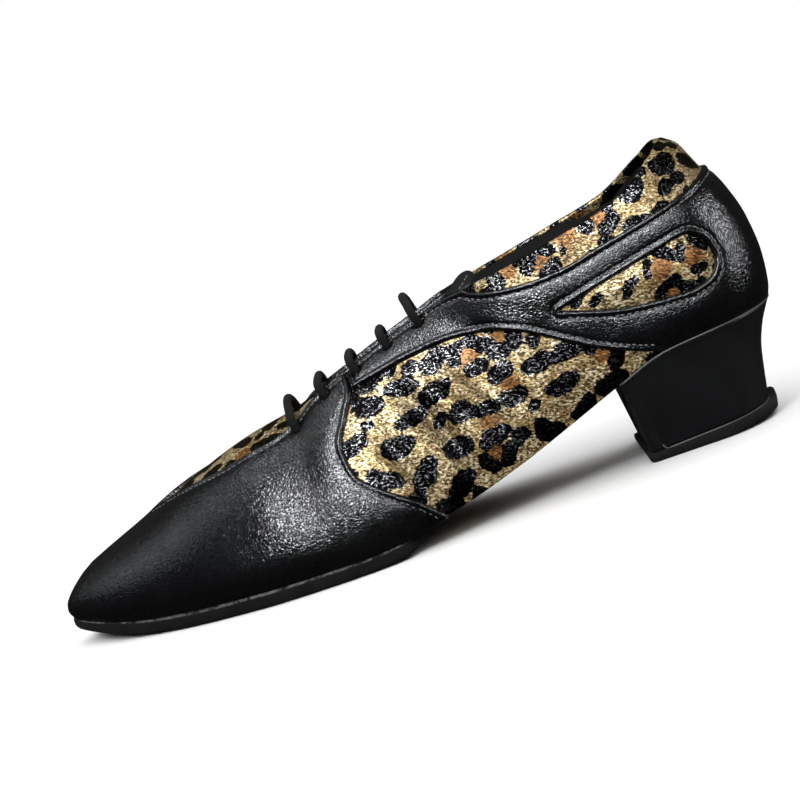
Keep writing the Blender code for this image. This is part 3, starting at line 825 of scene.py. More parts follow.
def leopard_print(points, normals):
    """Fields over the surface, above 0 inside black marks and inside the tan hearts of rosettes."""
    rng = np.random.default_rng(PRINT_SEED)
    spot = np.full(len(points), -1.0)
    tan = np.full(len(points), -1.0)
    for i in scattered(points, rng, PRINT_PITCH):
        frame = surface_frame(normals[i])
        if rng.random() < ROSETTE_SHARE:
            rosette(spot, tan, points, points[i], frame, rng)
        else:
            size = rng.uniform(*MARK_LENGTH) * MM, rng.uniform(*MARK_WIDTH) * MM
            mark(spot, points, points[i], frame, size, rng)
    for i in scattered(points, rng, SPECK_PITCH):
        if spot[i] < SPECK_CLEAR and tan[i] < SPECK_CLEAR:
            radius = rng.uniform(*SPECK_SIZE) * MM
            mark(spot, points, points[i], surface_frame(normals[i]), (SPECK_LONG * radius, radius), rng)
    return spot, tan


def scattered(points, rng, pitch):
    """Numbers of points chosen at random, none closer together than a pitch."""
    chosen = []
    for i in rng.permutation(len(points))[:PRINT_TRIES]:
        if not chosen or np.min(np.sum((points[chosen] - points[i]) ** 2, 1)) > pitch**2:
            chosen.append(i)
    return chosen


def surface_frame(normal):
    """Directions along the shoe and up it on the surface, and the surface's normal."""
    first = np.cross(normal, LEANING_UP)
    first /= np.linalg.norm(first)
    return first, np.cross(normal, first), normal


def turned(frame, angle):
    """The two directions on the surface, turned by an angle."""
    cos, sin = np.cos(angle), np.sin(angle)
    return cos * frame[0] + sin * frame[1], cos * frame[1] - sin * frame[0]


def rosette(spot, tan, points, centre, frame, rng):
    """A tan heart with a broken ring of black round it."""
    raise_field(tan, points, centre, frame, rng.uniform(*HEART_TURN), *HEART_SIZE)
    arcs = rng.integers(*ARC_COUNT)
    begin = rng.uniform(0, 2 * np.pi)
    for k in range(arcs):
        middle = begin + 2 * np.pi * (k + rng.uniform(*ARC_SHIFT)) / arcs
        reach = rng.uniform(*ARC_REACH) * MM
        width = rng.uniform(*ARC_WIDTH) * MM
        for bend in np.linspace(-1, 1, ARC_OVALS) * rng.uniform(*ARC_BEND):
            angle = middle + bend
            place = centre + reach * turned(frame, angle)[0]
            raise_field(spot, points, place, frame, angle + np.pi / 2, ARC_LONG * width, width)


def mark(field, points, centre, frame, size, rng):
    """A solid black mark of uneven outline, from three overlapping ovals."""
    length, width = size
    turn = rng.uniform(*MARK_TURN)
    ahead, across = turned(frame, turn)
    raise_field(field, points, centre, frame, turn, length, width)
    for end in (-1, 1):
        aside = rng.uniform(*END_ASIDE) * width
        place = centre + end * END_PLACE * length * ahead + aside * across
        turn_end = turn + rng.uniform(*END_TURN)
        raise_field(field, points, place, frame, turn_end, END_LENGTH * length, END_WIDTH * width)


def raise_field(field, points, centre, frame, turn, length, width):
    """Raises the field inside an oval lying on the surface."""
    near = np.flatnonzero((abs(points - centre) < OVAL_REACH * length).all(1))
    away = points[near] - centre
    ahead, across = turned(frame, turn)
    u = away @ ahead / length
    v = away @ across / width
    w = away @ frame[2] / (2 * width)
    field[near] = np.maximum(field[near], 1 - np.sqrt(u**2 + v**2 + w**2))


# Overlays, divided into triangles on a flat pattern, finely along edges and eyelets

PATTERN_HEIGHT = 60 * MM
EDGE_BAND = 3.8 * MM
PANEL_STRIDE = 2
PATH_TAIL = 60
SETTLE_PASSES = 8
EYELET_DIMPLE = 0.9 * MM
EYELET_REACH = 1.9 * MM
EYELET_POWER = 4
INLAY_JOIN = 0.004
THROAT_POINTS = 120
FRONT_POINTS = 24
FOOT_POINTS = 60
BACK_POINTS = 40
SOLE_POINTS = 120
TOE_POINTS = 30
RIDGE_POINTS = 40


def to_flat(along, level):
    """Place on the flat pattern."""
    p = np.arccos(np.clip(1 - 2 * along, -1, 1)) / np.pi
    q = np.arcsin(np.clip(level, 0, 1)) * 2 / np.pi
    return np.stack([p * LENGTH, q * PATTERN_HEIGHT], -1)


def from_flat(flat):
    return eased(np.clip(flat[..., 0] / LENGTH, 0, 1), np.clip(flat[..., 1] / PATTERN_HEIGHT, 0, 1))


def line(start, end, count):
    """Straight run of shares along and up the wall between two places."""
    t = np.linspace(0, 1, count)[:, None]
    return np.array(start) + t * (np.array(end) - np.array(start))


def foot_of(along, level):
    """Place where an edge that comes down the wall meets the feather line."""
    return np.interp(0, -level[-PATH_TAIL:], along[-PATH_TAIL:]), 0


def quarter_edges():
    """Free edges of the quarter overlay on one side, and the rest of that half's outline."""
    along, level = from_side(*path(COLLAR_LINE, PATH_POINTS))
    heel_level = np.interp(0, along, level)
    rising = slice(PATH_POINTS * 3 // 4, None)
    throat_along = np.interp(1, level[rising], along[rising])
    inside = (along > 0) & (along < throat_along) & (level < 1)
    collar = np.stack([along, level], 1)[inside]
    collar = np.concatenate([[(0, heel_level)], collar, [(throat_along, 1)]])
    along, level = from_side(*path(QUARTER_EDGE, PATH_POINTS))
    lower = np.concatenate([np.stack([along, level], 1)[level > 0], [foot_of(along, level)]])
    throat = line((throat_along, 1), (lower[0, 0], 1), THROAT_POINTS)
    front = line((lower[0, 0], 1), lower[0], FRONT_POINTS)
    free = [collar, np.concatenate([throat, front[1:], lower[1:]])]
    rest = [line(lower[-1], (0, 0), FOOT_POINTS), line((0, 0), (0, heel_level), BACK_POINTS)]
    return free, rest


def side_leaf():
    return np.stack(from_side(*path(SIDE_LEAF, PATH_POINTS // 2)), 1)


def vamp_edges():
    """Free edges of the vamp overlay on one side, and the rest of that half's outline."""
    x, half = path(FRONT_LEAF, PATH_POINTS)
    leaf = np.stack(from_above(x, half), 1)[x > VAMP_EDGE["at"][1]]
    along, level = from_side(*path(VAMP_EDGE, PATH_POINTS))
    rear = np.stack([along, level], 1)[(level > 0) & (level < leaf[0, 1] - INLAY_JOIN)]
    rear = np.concatenate([rear, [foot_of(along, level)]])
    leaf[-1, 1] = 1
    free = [np.concatenate([leaf[::-1], rear])]
    toe = line((1, 0), (1, 1), TOE_POINTS)
    return free, [line(rear[-1], (1, 0), SOLE_POINTS), toe, line((1, 1), leaf[-1], RIDGE_POINTS)]


def lace_row(row):
    """Place along the shoe of a row of lacing, and how far out its eyelets are."""
    x = LACE_FIRST + row * LACE_STEP
    at = x / LENGTH
    inlay = read(FRONT_LEAF, "half", x) if x > FRONT_LEAF["at"][0] else 0
    return x, max(half_width(at) * last("open", at), inlay) + EYELET_INSET


def eyelets():
    """Middles of the eyelets of one side, on the upper's outer face."""
    return [wall(1, *from_above(*lace_row(row))) for row in range(LACE_ROWS)]


def inside_of(flat, loop):
    """Which flat points are inside a closed loop."""
    found = np.zeros(len(flat), bool)
    for (ax, ay), (bx, by) in zip(loop, np.roll(loop, -1, 0)):
        if ay == by:
            continue
        crosses = (flat[:, 1] < ay) != (flat[:, 1] < by)
        found ^= crosses & (flat[:, 0] < ax + (flat[:, 1] - ay) * (bx - ax) / (by - ay))
    return found


def within(flat, loops):
    """Which flat points are inside the first loop and outside the others, its holes."""
    found = inside_of(flat, loops[0])
    for hole in loops[1:]:
        found &= ~inside_of(flat, hole)
    return found


def tree_of(points):
    tree = kdtree.KDTree(len(points))
    for i, p in enumerate(points):
        tree.insert(p, i)
    tree.balance()
    return tree


def distances(points, tree):
    return np.array([tree.find(p)[2] for p in points])


def spaced(shares, step):
    """The same line with its points spread at even steps over the surface."""
    run = run_along(wall(1, *shares.T))
    at = np.linspace(0, run[-1], max(2, int(round(run[-1] / step))))
    return np.stack([np.interp(at, run, shares[:, 0]), np.interp(at, run, shares[:, 1])], 1)


def order_edges(edges):
    """Edges of an outline in the order in which each starts where the last one ended."""
    left = list(edges)
    chain = [left.pop(0)]
    while left:
        end = chain[-1][-1]
        gaps = [min(np.abs(e[0] - end).sum(), np.abs(e[-1] - end).sum()) for e in left]
        edge = left.pop(int(np.argmin(gaps)))
        if np.abs(edge[-1] - end).sum() < np.abs(edge[0] - end).sum():
            edge = edge[::-1]
        chain.append(edge)
    return chain


def panel_points(loops, edge_tree, eyelet_tree):
    """Flat points inside the loops, close together near edges and eyelets."""
    low, high = loops[0].min(0), loops[0].max(0)
    us, vs = (np.arange(low[i] + EDGE_STEP, high[i], EDGE_STEP) for i in (0, 1))
    u, v = np.meshgrid(np.arange(len(us)), np.arange(len(vs)))
    coarse = ((u % PANEL_STRIDE == 0) & (v % PANEL_STRIDE == 0)).ravel()
    flat = np.stack([us[u.ravel()], vs[v.ravel()]], 1)
    keep = within(flat, loops)
    flat, coarse = flat[keep], coarse[keep]
    placed = wall(1, *from_flat(flat))
    reach = np.minimum(distances(placed, edge_tree), distances(placed, eyelet_tree))
    return flat[(reach > EDGE_STEP / 2) & (coarse | (reach < EDGE_BAND))]


def cut_out(loops, flat):
    """Flat points and triangles of a sheet bounded by loops, all facing the same way."""
    edges, start = [], 0
    for loop in loops:
        numbers = start + np.arange(len(loop))
        edges.extend(zip(numbers.tolist(), np.roll(numbers, -1).tolist()))
        start += len(loop)
    corners = [Vector(c) for c in np.concatenate([*loops, flat])]
    corners, _, faces, *_ = geometry.delaunay_2d_cdt(corners, edges, [], 1, CUT_REACH, False)
    flat = np.array([tuple(c) for c in corners])
    faces = np.array(faces)
    faces = faces[within(flat[faces].mean(1), loops)]
    a, b, c = (flat[faces[:, i]] for i in range(3))
    upside_down = (b - a)[:, 0] * (c - a)[:, 1] - (b - a)[:, 1] * (c - a)[:, 0] > 0
    faces[upside_down] = faces[upside_down][:, ::-1]
    return flat, faces


def build_overlay(name, edges, holes, material, node):
    """A leather overlay over both sides: cut to its outline, with folded edges and pressed eyelets.
    Returns its surface and its free edges."""
    free, rest = edges
    free = [spaced(edge, EDGE_STEP) for edge in free]
    holes = [spaced(edge, EDGE_STEP)[:-1] for edge in holes]
    outline = np.concatenate([edge[:-1] for edge in order_edges([*free, *rest])])
    loops = [to_flat(*loop.T) for loop in (outline, *holes)]
    edge_tree = tree_of(np.concatenate([wall(1, *edge.T) for edge in (*free, *holes)]))
    eyelet_tree = tree_of(eyelets())
    flat, faces = cut_out(loops, panel_points(loops, edge_tree, eyelet_tree))

    shares = from_flat(flat)
    near, far = wall(1, *shares), wall(-1, *shares)
    inside = distances(near, edge_tree)
    rise = read(EDGE_FOLD, "height", inside)
    pressed = np.exp(-((distances(near, eyelet_tree) / EYELET_REACH) ** EYELET_POWER))
    rise -= EYELET_DIMPLE * pressed * (inside > MM)
    points, faces = joined([(near, faces), (far, faces[:, ::-1])])
    kept, faces, _ = weld(points, faces)
    points, rise, inside = points[kept], np.tile(rise, 2)[kept], np.tile(inside, 2)[kept]
    points = points + (rise + crease(points))[:, None] * normals_of(points, faces)
    normals = normals_of(points, faces)
    even = np.clip((inside - EDGE_FOLD["inside"][-2]) / MM, 0, 1)[:, None]
    normals = even * settled(normals, faces, SETTLE_PASSES) + (1 - even) * normals
    make_piece(name, points, faces, [material], "black_leather", node, normals=normals)
    surface = BVHTree.FromPolygons([tuple(p) for p in points], faces.tolist())
    return surface, [*free, *holes]


# Stitching

STITCH_PITCH = 2.1 * MM
STITCH_LENGTH = 1.6 * MM
STITCH_RADIUS = 0.22 * MM
STITCH_SIDES = 6
STITCH_RINGS = 6
STITCH_TIP = 0.02
STITCH_BLUNT = 4
STITCH_CROWN = 0.55
STITCH_SINK = 1.1
SHARE_STEP = 0.002


def stitch_shape():
    """Points and faces of one stitch along X: round, sunk at both ends."""
    angle = np.linspace(0, 2 * np.pi, STITCH_SIDES, endpoint=False)
    rings = []
    for share in np.linspace(-1, 1, STITCH_RINGS):
        radius = STITCH_RADIUS * np.sqrt(max(1 - share**STITCH_BLUNT, STITCH_TIP))
        height = STITCH_RADIUS * (STITCH_CROWN - STITCH_SINK * share**2)
        x = np.full(STITCH_SIDES, share * STITCH_LENGTH / 2)
        rings.append(np.stack([x, radius * np.cos(angle), height + radius * np.sin(angle)], 1))
    grid = closed(numbered((STITCH_RINGS, STITCH_SIDES)))
    return np.concatenate(rings), grid_faces(grid, flip=True)


def wall_normals(side, along, level):
    """Outward normals of the upper's wall."""
    def surface(p, q):
        return wall(side, np.clip(p, 0, 1), np.clip(q, 0, 1))

    return -side * normals_over(surface, along, level, SHARE_STEP)


def seam_line(edge, side, surface):
    """Points on an overlay along its sewn groove, with the surface's normals there."""
    placed = wall(side, *edge.T)
    inward = unit(np.cross(wall_normals(side, *edge.T), np.gradient(placed, axis=0)))
    tries = []
    for direction in (1, -1):
        found = [surface.find_nearest(p) for p in placed + direction * SEAM_INSIDE * inward]
        places, normals, _, away = (np.array(column) for column in zip(*found))
        tries.append((np.median(away), places, normals))
    return min(tries, key=lambda found: found[0])[1:]


def build_stitching(seams, material):
    """Rows of stitches along the sewn grooves, each place sewn once."""
    shape, faces = stitch_shape()
    parts, places = [], []
    for line_points, normals in seams:
        run = run_along(line_points)
        for at in np.arange(STITCH_PITCH, run[-1] - STITCH_PITCH, STITCH_PITCH):
            i = min(np.searchsorted(run, at), len(run) - 2)
            ahead = line_points[min(i + 2, len(run) - 1)] - line_points[max(i - 2, 0)]
            ahead = unit(ahead - ahead.dot(normals[i]) * normals[i])
            doubled = places and np.linalg.norm(line_points[i] - places, axis=1).min() < STITCH_PITCH / 2
            if not ahead.any() or doubled:
                continue
            places.append(line_points[i])
            frame = np.array([ahead, np.cross(normals[i], ahead), normals[i]])
            parts.append((line_points[i] + shape @ frame, faces))
    make_piece("stitching", *joined(parts), [material], "black_leather")


# Sole and heel

# Rounded edge of the front sole: inset and rise from its lower face, and from its upper face
SOLE_EDGE = table(
    "inset/mm rise/mm from_top",
    (2.2, 0.0, 0),
    (0.9, 0.15, 0),
    (0.25, 0.6, 0),
    (0.0, 1.3, 0),
    (0.05, -1.2, 1),
    (0.3, -0.8, 1),
    (0.8, -0.1, 1),
    (2.4, 0.1, 1),
)
SOCK_EDGE = table(
    "inset/mm rise",
    (0.0, 0.0), (0.0, 0.7), (0.6, 0.93), (2.0, 1.0),
)
# Rings of the heel tip, lowest first: shares of its height, and of the lip's rise, flare, rocker and lip
TIP_RINGS = table(
    "height lip_rise flare rocker lip",
    (0.00, 0.00, 0.50, 1, 0),
    (0.10, 0.00, 0.80, 1 / 3, 0),
    (0.35, 0.15, 1.00, 0, 1 / 3),
    (0.70, 0.60, 1.00, 0, 1 / 2),
    (0.93, 0.95, 0.90, 0, 1 / 2),
    (1.00, 1.00, 0.55, 0, 1 / 4),
    (1.00, 0.00, 0.00, 1 / 4, 0),
)
SOLE_STATIONS = 150
NAP_HIGHLIGHT_BAND = 0.85 * MM
BREAST_ROUND = 1.6 * MM
BREAST_POINTS = 7
BREAST_BORDER = 3.6 * MM
BORDER_RISE = 0.3 * MM
BORDER_STEP = 0.25 * MM
BORDER_CLEAR = 0.3 * MM
TOUCH = 0.01 * MM
BEAD_RADIUS = 0.3 * MM
BEAD_OUT = 0.5 * MM
BEAD_CORNER = 1.6 * MM
BEAD_TURN_POINTS = 7
HEEL_STATIONS = 90
HEEL_SIDE_STATIONS = HEEL_STATIONS * 7 // 8
HEEL_LEVELS = 40


def plan_ring(xs, centres, halves, heights):
    """Ring of points from the back along +Y to the front, and back along the other side."""
    near = np.stack([xs - ORIGIN, centres + halves, heights], 1)
    far = np.stack([xs - ORIGIN, centres - halves, heights], 1)
    return np.concatenate([near, far[::-1]])


def ring_piece(name, rings, materials, slot, node, kinds=None):
    """A closed solid of stacked rings, lowest first; kinds gives materials by the faces' middles."""
    grid = numbered((len(rings), len(rings[0])))
    half = len(rings[0]) // 2
    low = np.stack([grid[0, :half], grid[0, half:][::-1]])
    high = np.stack([grid[-1, :half], grid[-1, half:][::-1]])
    faces = np.concatenate([grid_faces(closed(grid)), grid_faces(low, flip=True), grid_faces(high)])
    points = np.concatenate(rings)
    kept, faces, _ = weld(points, faces)
    points = points[kept]
    if np.einsum("ij,ij->", np.cross(points[faces[:, 0]], points[faces[:, 1]]), points[faces[:, 2]]) < 0:
        faces = faces[:, ::-1]
    chosen = kinds(points[faces].mean(1)) if kinds else None
    make_piece(name, points, faces, materials, slot, node, chosen)


def drawn_in(halves, inset):
    """Half widths less an inset, tapering to nothing only at the very ends."""
    return halves**2 / np.maximum(halves + inset, TINY)


def spread(count):
    """Places from 0 to 1, close together near both ends."""
    return (1 - np.cos(np.linspace(0, np.pi, count + 1))) / 2


def sole_half(x, ledge):
    """Half width of the shoe's outline at the feather line, grown by a ledge all round."""
    back = ENDS["back"][0] - ledge
    front = LENGTH - ENDS["front"][0] + ledge
    grown = 1 + 2 * ledge / BALL_WIDTH
    return half_width(np.clip((x - back) / (front - back), 0, 1)) * (1 - TUCK) * grown


def build_outsole(suede_side, nap):
    """Front half of the split sole, with soft rounded edges and a paler top band: nap and painted
    highlight.
    """
    ledge = SKIN + SOLE_LEDGE
    front = LENGTH - ENDS["front"][0] + ledge
    xs = SOLE_BACK + spread(SOLE_STATIONS) * (front - SOLE_BACK)
    rear = np.clip((xs - SOLE_BACK) / SOLE_BACK_ROUND, 0, 1)
    halves = sole_half(xs, ledge) * np.sqrt(1 - (1 - rear) ** 2)
    under = read(TREAD_LINE, "height", xs)
    over = feather_height(xs) - GAP
    middle = (SOLE_BACK + front) / 2
    rings = []
    for inset, rise, from_top in zip(*SOLE_EDGE.values()):
        shortened = middle + (xs - middle) * (1 - 2 * inset / (front - SOLE_BACK))
        base = over if from_top else under
        rings.append(plan_ring(shortened, centre_line(xs / LENGTH), drawn_in(halves, inset), base + rise))

    def kinds(middles):
        return middles[:, 2] > feather_height(middles[:, 0] + ORIGIN) - GAP - NAP_HIGHLIGHT_BAND

    ring_piece("front_sole", rings, [suede_side, nap], "suede_sole", "outsole", kinds)


def build_insole(material):
    """Sock that lies inside the wall from heel to toe, with a rounded upper edge."""
    back = ENDS["back"][0] + WALL + INSOLE_CLEAR
    front = LENGTH - ENDS["front"][0] - WALL - INSOLE_CLEAR
    along = spread(SOLE_STATIONS)
    xs = back + along * (front - back)
    halves = half_width(along) * (1 - TUCK)
    under = feather_height(xs) + WALL + GAP
    rings = []
    for inset, rise in zip(*SOCK_EDGE.values()):
        slim = drawn_in(halves, WALL + INSOLE_CLEAR + inset)
        rings.append(plan_ring(xs, centre_line(along), slim, under + rise * INSOLE_THICK))
    ring_piece("insole_sock", rings, [material], "lining", "insole")


def heel_ring(rise, height, grow=0.0, reach_back=0.0, border=0.0):
    """Ring of the heel at a share of its rise: round at the back, straight across the breast."""
    reach = read(HEEL_BACK, "reach", rise)
    seat_back = ENDS["back"][0] - SKIN
    back = HEEL_BASE_BACK + reach * (seat_back - HEEL_BASE_BACK) - grow - reach_back
    front = HEEL_BASE_FRONT + rise * (HEEL_SEAT_FRONT - HEEL_BASE_FRONT) + grow
    corner = np.linspace(1, 0, BREAST_POINTS) * BREAST_ROUND
    edge = np.array([BREAST_BORDER + BORDER_STEP, BREAST_BORDER, *corner])
    along = np.concatenate([spread(HEEL_STATIONS)[:HEEL_SIDE_STATIONS], 1 - edge / (front - back)])
    along = np.sort(np.clip(along, 0, 1))
    seat = sole_half(seat_back + along * (HEEL_SEAT_FRONT - seat_back), SKIN)
    xs = back + along * (front - back)
    rounded = np.clip(along / HEEL_ROUND, 0, 1)
    base = (HEEL_BASE_HALF + grow) * (1 - (1 - rounded) ** HEEL_SQUARE) ** (1 / HEEL_SQUARE)
    halves = base + rise * (seat - base)
    corner = np.clip(1 - (front - xs) / BREAST_ROUND, 0, 1)
    halves -= BREAST_ROUND * (1 - np.sqrt(1 - corner**2))
    halves += border * (front - xs <= BREAST_BORDER + TOUCH)
    return plan_ring(xs, np.zeros_like(xs), halves, height(xs))


def lift_top(x):
    """Upper face of the top lift, thicker towards the back."""
    back_share = np.clip((HEEL_BASE_FRONT - x) / (HEEL_BASE_FRONT - HEEL_BASE_BACK), 0, 1)
    return LIFT_FRONT + (LIFT_BACK - LIFT_FRONT) * back_share


def build_heel(cover, border):
    """Block heel in a tight cover, with a raised border along the breast."""
    rings = []
    for rise in np.linspace(0, 1, HEEL_LEVELS):
        def height(x, rise=rise):
            base = lift_top(x) + GAP
            return base + rise * (feather_height(x) - GAP - base)
        rings.append(heel_ring(rise, height, border=BORDER_RISE))

    def kinds(middles):
        rise = np.clip(middles[:, 2] / HEEL_HEIGHT, 0, 1)
        front = HEEL_BASE_FRONT + rise * (HEEL_SEAT_FRONT - HEEL_BASE_FRONT) - ORIGIN
        return np.where(middles[:, 0] > front - BREAST_BORDER - BORDER_CLEAR, 1, 0)

    ring_piece("heel_block", rings, [cover, border], "heel_cover", "heel", kinds)


def build_heel_beads(material):
    """Thin beads in the joints between upper, heel and top lift; the lower one turns up at the border."""
    corner = HEEL_BASE_FRONT - ORIGIN - BREAST_BORDER - BEAD_CORNER
    angle = np.linspace(0, np.pi / 2, BEAD_TURN_POINTS)[1:]
    upturn = BEAD_CORNER * np.stack([np.sin(angle), 0 * angle, 1 - np.cos(angle)], 1)
    parts = []
    for rise, height in ((1, feather_height), (0, lift_top)):
        ring = heel_ring(rise, height)
        ring[:, 1] *= 1 + BEAD_OUT / HEEL_BASE_HALF
        half = len(ring) // 2
        bead = np.concatenate([ring[:half][::-1], ring[half + 1:][::-1]])
        if rise == 0:
            bead = bead[bead[:, 0] < corner]
            bead = np.concatenate([bead[0] + upturn[::-1], bead, bead[-1] + upturn])
        parts.append(round_cord(bead, BEAD_RADIUS, 0))
    make_piece("heel_beads", *joined(parts), [material], "heel_cover")


def build_top_lift(material):
    """Heel tip with flared edges and a lip turned up behind the heel."""
    rings = []
    for share, lip_rise, flare, rocker, lip in zip(*TIP_RINGS.values()):
        def height(x, share=share, lip_rise=lip_rise):
            upturned = np.clip((HEEL_BASE_BACK - GAP - x) / LIFT_LIP, 0, 1)
            return lift_top(x) * share + LIFT_LIP_RISE * upturned * lip_rise
        rings.append(heel_ring(0, height, LIFT_FLARE * flare, LIFT_LIP * lip - LIFT_ROCKER * rocker))
    ring_piece("heel_tip", rings, [material], "heel_tip", "top_lift")


# Tongue and lace

TONGUE_ROWS = 90
TONGUE_COLUMNS = 41
TONGUE_ROLL = 0.28
TONGUE_ROLL_POWER = 8
TONGUE_SEAM = 2.2 * MM
TONGUE_SEAM_REACH = 24 * MM
TONGUE_SEAM_POINTS = 40
LACE_SIDES = 20
LACE_STEP_ALONG = 0.35 * MM
LACE_POINTS = 41
LACE_DIVE = 3.2 * MM
LACE_DIVE_START = 0.86
LACE_DRAWN_IN = 0.02
LACE_SAG = 0.6 * MM
BRAID_PITCH = 3.2 * MM
BRAID_STRANDS = 5
BRAID_DEPTH = 0.07
CORD_ASIDE = (1, 0, 0.01)


def tongue_half(x):
    return read(TONGUE_HALF, "half", x)


def tongue_face(x, y, depth=0.0):
    """Points of the tongue at a depth under its face: below the eyestays, standing up behind the throat."""
    start, broad = (TONGUE_HALF[column][TONGUE_BROADEST] for column in ("at", "half"))
    inside = np.clip(1 - abs(y - centre_line(x / LENGTH)) / broad, 0, 1)
    share = np.clip((start - x) / (start - TONGUE_ENDS[0]), 0, 1)
    rounded = np.sin(share * np.pi / 2) - TONGUE_ROLL * share**TONGUE_ROLL_POWER
    rise = TONGUE_RISE * rounded * np.sqrt(inside)
    return above_throat(x, y, rise - WALL - TONGUE_CLEAR - depth)


def tongue_border():
    """Points and normals along a line a little inside the tongue's upper edge, for its stitching."""
    share = np.linspace(0, 1, TONGUE_SEAM_POINTS) ** 2
    x = TONGUE_ENDS[0] + TONGUE_SEAM + TONGUE_SEAM_REACH * np.concatenate([share[::-1], share])
    side = np.repeat([1, -1], TONGUE_SEAM_POINTS)
    y = centre_line(x / LENGTH) + side * (tongue_half(x - TONGUE_SEAM) - TONGUE_SEAM)
    return tongue_face(x, y), normals_over(tongue_face, x, y, SLOPE_STEP)


def build_tongue(material):
    """Soft leather tongue with rounded edges, under the eyestays."""
    xs = TONGUE_ENDS[0] + spread(TONGUE_ROWS) * (TONGUE_ENDS[1] - TONGUE_ENDS[0])
    shares = np.sin(np.linspace(-1, 1, TONGUE_COLUMNS) * np.pi / 2)
    x, share = np.meshgrid(xs, shares, indexing="ij")
    y = centre_line(x / LENGTH) + tongue_half(x) * share
    to_end = np.minimum(x - TONGUE_ENDS[0], TONGUE_ENDS[1] - x)
    to_side = tongue_half(x) * (1 - abs(share))
    edge = np.clip(np.minimum(to_end, to_side) / (TONGUE_THICK / 2), 0, 1)
    full = TONGUE_THICK / 2 * np.sqrt(1 - (1 - edge) ** 2)
    rows, columns = x.shape
    # Two corner triangles lie on the border alone, where front and back meet, so they are left out
    corners = [2 * (columns - 1) - 1, 2 * (rows - 2) * (columns - 1)]
    parts = []
    for sign in (-1, 1):
        faces = np.delete(grid_faces(numbered(x.shape), flip=sign > 0), corners, axis=0)
        parts.append((tongue_face(x, y, TONGUE_THICK / 2 + sign * full).reshape(-1, 3), faces))
    points, faces = joined(parts)
    kept, faces, _ = weld(points, faces)
    make_piece("tongue_leather", points[kept], faces, [material], "tongue_leather", "tongue")


def round_cord(line_points, radius, braid):
    """Points and faces of a round cord along a line, braided to a share of its radius."""
    run = run_along(line_points)
    at = np.arange(0, run[-1], LACE_STEP_ALONG)
    middle = np.stack([smooth(run, line_points[:, i], at) for i in range(3)], 1)
    ahead = unit(np.gradient(middle, axis=0))
    first = unit(np.cross(ahead, CORD_ASIDE))
    second = np.cross(ahead, first)
    angle, along = np.meshgrid(np.linspace(0, 2 * np.pi, LACE_SIDES, endpoint=False), at)
    twist = 2 * np.pi * along / BRAID_PITCH
    weave = np.cos(BRAID_STRANDS * angle + twist) * np.cos(BRAID_STRANDS * angle - twist)
    thick = radius * (1 + braid * weave)
    points = middle[:, None] + (thick * np.cos(angle))[..., None] * first[:, None]
    points = points + (thick * np.sin(angle))[..., None] * second[:, None]
    grid = closed(numbered(angle.shape))
    hub = np.full(LACE_SIDES, angle.size)
    start_cap = np.stack([hub, grid[0, 1:], grid[0, :-1]], 1)
    end_cap = np.stack([hub + 1, grid[-1, :-1], grid[-1, 1:]], 1)
    points = np.concatenate([points.reshape(-1, 3), middle[[0, -1]]])
    return points, np.concatenate([grid_faces(grid, flip=True), start_cap, end_cap])


def build_laces(material):
    """Bars of lace from eyelet to eyelet, each end going down through its eyelet, the top one slack."""
    share = np.linspace(-1, 1, LACE_POINTS)
    ends = np.clip((abs(share) - LACE_DIVE_START) / (1 - LACE_DIVE_START), 0, 1)
    for row in range(LACE_ROWS):
        x, reach = lace_row(row)
        slack = LACE_SLACK if row == 0 else 0
        arch = (slack + LACE_SAG) * (1 - share**2)
        lift = SKIN + LACE_CLEAR + LACE_RADIUS + arch - (LACE_DIVE + SKIN) * ends**2
        ys = centre_line(x / LENGTH) + reach * share * (1 - LACE_DRAWN_IN * ends)
        cord = round_cord(above_throat(np.full_like(ys, x), ys, lift), LACE_RADIUS, BRAID_DEPTH)
        make_piece(f"lace_run_{row + 1}", *cord, [material], "lace", f"lace_bar_{row + 1}")


# Stage: the camera keeps the photograph's angle to the shoe, rolled as there
CAMERA_AZIMUTH = -2.55
CAMERA_ELEVATION = 8.28
CAMERA_ROLL = -19.46
CAMERA_DISTANCE = 650 * MM
CAMERA_AIM = (93 * MM, 0, 43 * MM)
CAMERA_NEAR = 10 * MM
IMAGE_PIXELS = 800
FOCAL_PIXELS = 1980
SENSOR = 36
FLOOR_RADIUS = 1.0
FLOOR_SIDES = 96
FLOOR_COLOUR = (0.92, 0.92, 0.92)
SKY_HEIGHTS = (-0.1, 1.0)
SKY_LIGHT = (0.02, 0.12)
LIGHT_AIM = (0.09, 0, 0.04)

# Lights: name, place, width and height, power in watts, and whether they act on matt or on gloss
LIGHTS = (
    ("overhead", (0.1, 0, 1.8), (6, 6), 165, "matt"),
    ("side", (0.60, 0.80, 0.70), (0.4, 0.4), 6, "matt"),
    ("top_shine", (0.35, 0.03, 0.8), (0.45, 0.16), 1.0, "gloss"),
    ("toe_shine", (0.77, -0.07, 0.63), (0.45, 0.45), 0.8, "gloss"),
    ("back_shine", (-0.75, 0.10, 0.19), (0.08, 0.30), 2.4, "gloss"),
    ("front_shine", (0.22, 0.80, 0.54), (0.20, 0.10), 5.5, "gloss"),
    ("eyestay_shine", (0.10, 0.52, 0.80), (0.4, 0.10), 8.5, "gloss"),
    ("quarter_shine", (-0.20, 0.79, 0.44), (0.4, 0.06), 2.8, "gloss"),
)


